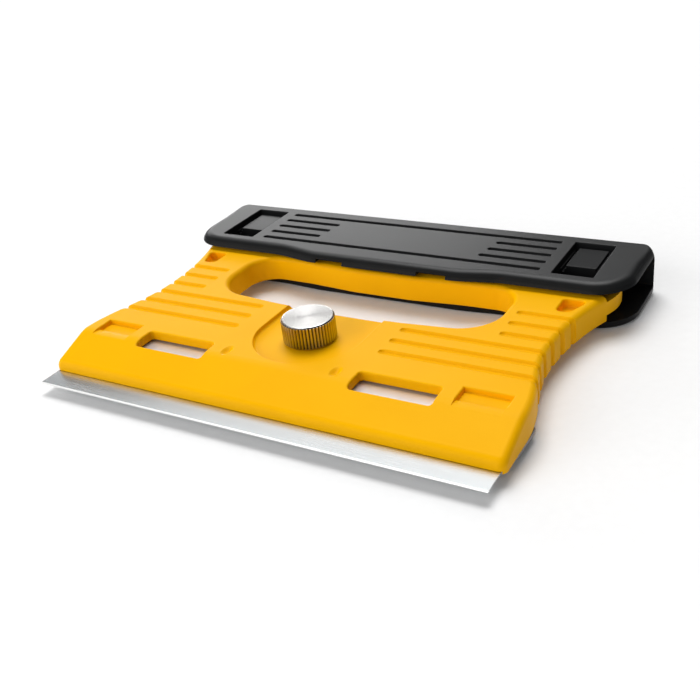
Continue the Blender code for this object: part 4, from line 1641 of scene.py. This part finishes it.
@dataclass
class Cover:
    """Black channel that covers the blade, parked over the rail."""

    finish: Moulding = BLACK
    half: float = LAYOUT.front_half + 7.0
    top: float = LAYOUT.cover_top
    inside_top: float = 13.2
    low_wall: float = 2.6
    web: float = 3.0
    land: float = 4.5
    top_round: float = 4.2
    back_square: float = 0.8
    end_square: float = 0.5
    square_run: float = 14.6
    low_round: float = 1.4
    front_corner: float = 13.0
    back_corner: float = 4.3
    front: float = LAYOUT.hole_back - LAYOUT.hole_bow - 1.2
    step: float = 2.8
    low_setback: float = 2.6
    low_sweep: float = 0.45
    forward_half: float = LAYOUT.front_half * 0.37
    stepped_half: float = LAYOUT.front_half * 0.55
    sweep: float = 22.0
    groove_pitch: float = 5.43
    groove_count: int = 5
    groove_width: float = 2.0
    groove_depth: float = 0.8
    groove_out: float = LAYOUT.front_half * 0.70
    groove_in: float = LAYOUT.front_half * 0.41
    groove_slant: float = 1.0
    groove_corner: float = 0.85
    groove_lip: float = 0.2
    groove_fillet: float = 0.3
    channel_fillet: float = 0.5
    window_in: float = LAYOUT.front_half * 0.755
    window_out: float = LAYOUT.front_half * 0.932
    window_length: float = 25.1
    window_depth: float = 2.4
    window_corner: float = 0.5
    window_lip: float = 0.25
    slot: float = 9.0
    slot_floor: float = 0.8
    moat: float = 1.3
    moat_depth: float = 1.2
    moat_rim: float = 0.3
    moat_corner: float = 0.4
    moat_fillet: float = 0.2
    island: float = 1.1
    island_margin: float = 0.5
    island_root: float = 0.3
    island_round: float = 0.25
    pad_margin: float = 2.0
    notch_in: float = LAYOUT.front_half * 0.187
    notch_out: float = LAYOUT.front_half * 0.327
    notch_height: float = 1.3
    notch_depth: float = 3.0

    window_back: float = LAYOUT.length - land
    window_front: float = window_back - window_length
    window_floor: float = top - window_depth
    pad_front: float = window_front + slot

    def outline(self, setback: float) -> Outline:
        """Draw the plan outline; the middle of its front edge stands forward in an S-curve.

        Args:
            setback: How far the front edge is moved back.

        Returns:
            The outline.
        """
        front = self.front + setback
        stepped = front + self.step
        half = [(self.forward_half, front, self.sweep), (self.stepped_half, stepped, self.sweep),
                (self.half, stepped, self.front_corner), (self.half, LAYOUT.length - self.square_run, 0.0),
                (self.half, LAYOUT.length, self.back_corner)]
        return fillet(mirrored(half))

    def groove(self, y: float, x_low: float, x_high: float) -> Piece:
        """Cutter for one groove in the top, with rounded lips and floor.

        Args:
            y: Middle of the groove.
            x_low: Least x.
            x_high: Greatest x.

        Returns:
            The cutter.
        """
        reach = self.groove_width / 2.0
        outline = fillet(rectangle(x_low, x_high, y - reach, y + reach, reach * self.groove_corner))
        rims = Rims(-self.groove_lip, self.groove_fillet)
        return pit("cover_groove", outline, self.top - self.groove_depth, self.top, rims)

    def grooves(self) -> list[Piece]:
        """Make the cutters for two whole grooves, and for the pairs beside the bare panel.

        Returns:
            The cutters.
        """
        middle = (self.window_front + self.window_back) / 2.0
        last = self.groove_count - 1
        cutters: list[Piece] = []
        for index in range(self.groove_count):
            place = index - last / 2.0
            y = middle + self.groove_pitch * place
            if index in (0, last):
                cutters.append(self.groove(y, -self.groove_out, self.groove_out))
            else:
                shift = self.groove_slant * place
                cutters.append(self.groove(y, shift + self.groove_in, self.groove_out))
                cutters.append(self.groove(y, -self.groove_out, shift - self.groove_in))
        return cutters

    def panel(self, side: Side, margin: float, front: float, back: float, corner: float = 0.0) -> Outline:
        """Draw an oblong that keeps a margin to both ends of a window.

        Args:
            side: Side of the cover.
            margin: The margin; negative when the oblong is longer than the window.
            front: Its front.
            back: Its back.
            corner: Radius of its corners.

        Returns:
            The outline.
        """
        corners = rectangle(self.window_in + margin, self.window_out - margin, front, back, corner)
        return fillet(handed(side, corners))

    def channel(self) -> Piece:
        """Cutter for the inside of the channel, with the pads under the windows left standing.

        Returns:
            The cutter.
        """
        inside = LAYOUT.length - self.web
        reach = self.half + OVER
        corners = rectangle(-reach, reach, self.front - OVER, inside)
        rims = Rims(self.channel_fillet, self.channel_fillet)
        hollow = slab("channel", fillet(corners), self.low_wall, self.inside_top, rims)
        pads: list[Piece] = []
        for side in Side:
            pad = self.panel(side, -self.pad_margin, self.window_front - self.pad_margin, inside + OVER)
            pads.append(slab("pad", pad, LAYOUT.rail_top + LAYOUT.fit, self.inside_top + OVER))
            pads.append(slab("pad", pad, self.low_wall - OVER, LAYOUT.rail_low - LAYOUT.fit))
        cut(hollow, pads)
        return hollow

    def top_rings(self, low: float) -> list[Ring]:
        """Stack the upper wall, with its rim well rounded in front and squarer towards the back.

        Args:
            low: Height that it starts at.

        Returns:
            Its rings.
        """
        outline = self.outline(0.0)
        start = LAYOUT.length - self.square_run
        rings: list[Ring] = []
        for rounded in Rims(self.top_round).rings(outline, low, self.top):
            ring: Ring = []
            for (x, y, z), base in zip(rounded, outline):
                share = max(0.0, base.y - start) / self.square_run
                along = (base.x - x) * share * self.end_square
                back = (base.y - y) * share * self.back_square
                ring.append((x + along, y + back, z))
            rings.append(ring)
        return rings

    def shell(self) -> Piece:
        """Skin the outside, with the front edge of the lower wall straighter than that of the upper one.

        Returns:
            The blank, still solid inside.
        """
        middle = self.top / 2.0
        low_front = self.front + self.low_setback + self.step
        low_outline = [Vector((point.x, point.y + max(0.0, low_front - point.y) * (1.0 - self.low_sweep)))
                       for point in self.outline(self.low_setback)]
        low_rings = Rims(0.0, self.low_round).rings(low_outline, 0.0, middle - OVER)
        return loft("channel_cover", low_rings + self.top_rings(middle))

    def window(self, side: Side) -> Piece:
        """Cutter for the upper part of a window, with a rounded mouth."""
        outline = self.panel(side, 0.0, self.window_front, self.window_back, self.window_corner)
        return pit("cover_window", outline, self.window_floor, self.top, Rims(-self.window_lip, 0.0))

    def opening(self, side: Side) -> Piece:
        """Cutter for the deeper front part of a window.

        Args:
            side: Side of the cover.

        Returns:
            The cutter.
        """
        gap = LAYOUT.slide_gap
        floor = LAYOUT.rail_top + LAYOUT.fit + self.slot_floor
        outline = self.panel(side, gap, self.window_front + gap, self.pad_front, self.window_corner)
        return slab("slot", outline, floor, self.top)

    def notch(self, side: Side) -> Piece:
        """Cutter for one notch in the lower edge of the front lip.

        Args:
            side: Side of the cover.

        Returns:
            The cutter.
        """
        corners = rectangle(self.notch_in, self.notch_out, self.front - OVER, self.front + self.notch_depth)
        high = self.inside_top + self.notch_height
        return slab("notch", fillet(handed(side, corners)), self.inside_top - OVER, high)

    def moats(self) -> list[Piece]:
        """Make the cutters for the narrow moats at both ends of the pads in the windows.

        Returns:
            The cutters.
        """
        edge = LAYOUT.slide_gap + self.moat_rim
        ends = ((self.window_in + edge, self.window_in + self.moat),
                (self.window_out - self.moat, self.window_out - edge))
        front, back = self.pad_front - OVER, self.window_back - edge
        low, high = self.window_floor - self.moat_depth, self.window_floor
        rims = Rims(-self.moat_rim, self.moat_fillet)
        cutters: list[Piece] = []
        for side in Side:
            for near, far in ends:
                corners = rectangle(near, far, front, back, self.moat_corner)
                cutters.append(pit("moat", fillet(handed(side, corners)), low, high, rims, OVER / 2.0))
        return cutters

    def islands(self) -> list[Piece]:
        """Make the raised middles of the pads in the windows.

        Returns:
            The solids, with a root that goes into the pad.
        """
        edge = self.moat + self.island_margin
        back = self.window_back - edge
        low, high = self.window_floor - self.island_root, self.window_floor + self.island
        return [slab("island", self.panel(side, edge, self.pad_front, back, self.moat_corner), low, high,
                     Rims(self.island_round)) for side in Side]

    def build(self) -> None:
        """Mould the cover."""
        piece = self.shell()
        cut(piece, [self.channel()])
        cut(piece, [self.window(side) for side in Side] + self.grooves())
        cut(piece, [make(side) for side in Side for make in (self.opening, self.notch)])
        cut(piece, self.moats())
        combine(piece, self.islands(), Work.FUSE)
        show(piece, self.finish.material(), Moves.COVER, self.finish.slot, "blade_cover")


def facing(azimuth: float, elevation: float) -> Vector:
    """Find the direction from the tool to a place round it.

    Args:
        azimuth: Degrees from the front, to the right.
        elevation: Degrees over the floor.

    Returns:
        The direction, one metre long.
    """
    turn, lift = math.radians(azimuth), math.radians(elevation)
    return Vector((math.sin(turn) * math.cos(lift), -math.cos(turn) * math.cos(lift), math.sin(lift)))


@dataclass(frozen=True)
class Softbox:
    """One oblong studio light, aimed at the tool."""

    name: str
    azimuth: float
    elevation: float
    distance: float
    width: float
    height: float
    glow: float

    def build(self) -> None:
        """Hang the light."""
        lamp = bpy.data.lights.new(self.name, "AREA")
        lamp.shape = "RECTANGLE"
        lamp.size = self.width
        lamp.size_y = self.height
        lamp.energy = self.glow * math.pi * self.width * self.height
        back = facing(self.azimuth, self.elevation)
        holder = bpy.data.objects.new(self.name, lamp)
        holder.location = back * self.distance
        holder.rotation_mode = "QUATERNION"
        holder.rotation_quaternion = back.to_track_quat("Z", "Y")
        bpy.context.scene.collection.objects.link(holder)
        LOG.info("%s hung", self.name)


@dataclass(frozen=True)
class Studio:
    """Floor, lights and camera round the tool."""

    paper: Paper = PAPER
    floor_half: float = 12.0
    floor_cells: int = 8
    floor_drop: float = 0.0001
    lights: tuple[Softbox, ...] = (
        Softbox("front_left_sheet", -29.0, 23.0, distance=1.1, width=1.8, height=0.8, glow=2.35),
        Softbox("back_top_box", 208.0, 66.0, distance=3.9, width=2.4, height=2.0, glow=7.1),
        Softbox("back_sheet", 196.0, 42.0, distance=3.9, width=4.2, height=2.0, glow=1.0),
        Softbox("low_strip", 222.0, 13.5, distance=4.0, width=3.0, height=0.9, glow=4.1),
    )
    sky: float = 0.12
    backdrop: float = 1.0
    camera_at: Point = (0.148039, -0.224782, 0.143381)
    azimuth: float = 33.257
    elevation: float = 28.812
    roll: float = -7.290
    lens: float = 48.172
    sensor: float = 36.0
    nearest: float = 0.01

    def floor(self) -> None:
        """Lay the paper under the tool."""
        build = bmesh.new()
        cells = self.floor_cells
        bmesh.ops.create_grid(build, x_segments=cells, y_segments=cells, size=self.floor_half)
        mesh = bpy.data.meshes.new("paper_floor")
        build.to_mesh(mesh)
        build.free()
        sheet = bpy.data.objects.new("paper_floor", mesh)
        sheet.location.z = -self.floor_drop
        mesh.materials.append(self.paper.material())
        bpy.context.scene.collection.objects.link(sheet)
        LOG.info("floor laid")

    def surroundings(self) -> None:
        """Set the dim light of the room, the pale backdrop that the camera sees, and plain tones."""
        world = bpy.data.worlds.new("studio_room")
        recipe = Recipe(world)
        seen = recipe.node("ShaderNodeLightPath", {}, {})
        white = (1.0, 1.0, 1.0, 1.0)
        room, backdrop = (recipe.node("ShaderNodeBackground", {}, {"Color": white, "Strength": strength})
                          for strength in (self.sky, self.backdrop))
        both = recipe.node("ShaderNodeMixShader", {}, {0: seen, 1: room, 2: backdrop})
        recipe.feed(recipe.tree.nodes["World Output"].inputs["Surface"], both)
        bpy.context.scene.world = world
        bpy.context.scene.view_settings.view_transform = "Standard"

    def camera(self) -> None:
        """Stand the camera at the photograph's angle."""
        turn = math.radians(self.azimuth)
        back = facing(self.azimuth, self.elevation)
        right = Vector((math.cos(turn), math.sin(turn), 0.0))
        right.rotate(Matrix.Rotation(math.radians(self.roll), 3, back))
        up = back.cross(right)
        basis = Matrix((right, up, back)).transposed()
        lens = bpy.data.cameras.new("photo_camera")
        lens.lens = self.lens
        lens.sensor_width = self.sensor
        lens.clip_start = self.nearest
        holder = bpy.data.objects.new("photo_camera", lens)
        holder.matrix_world = Matrix.Translation(self.camera_at) @ basis.to_4x4()
        bpy.context.scene.collection.objects.link(holder)
        bpy.context.scene.camera = holder

    def build(self) -> None:
        """Set up the studio."""
        self.floor()
        self.surroundings()
        for light in self.lights:
            light.build()
        self.camera()


def main() -> None:
    """Build the studio and every sub-assembly."""
    logging.basicConfig(level=logging.INFO, format="%(name)s: %(message)s")
    Studio().build()
    plate = Plate()
    for part in (Body(plate), Blade(), Clamp(plate), Knob(), Cover()):
        part.build()


if __name__ == "__main__":
    main()
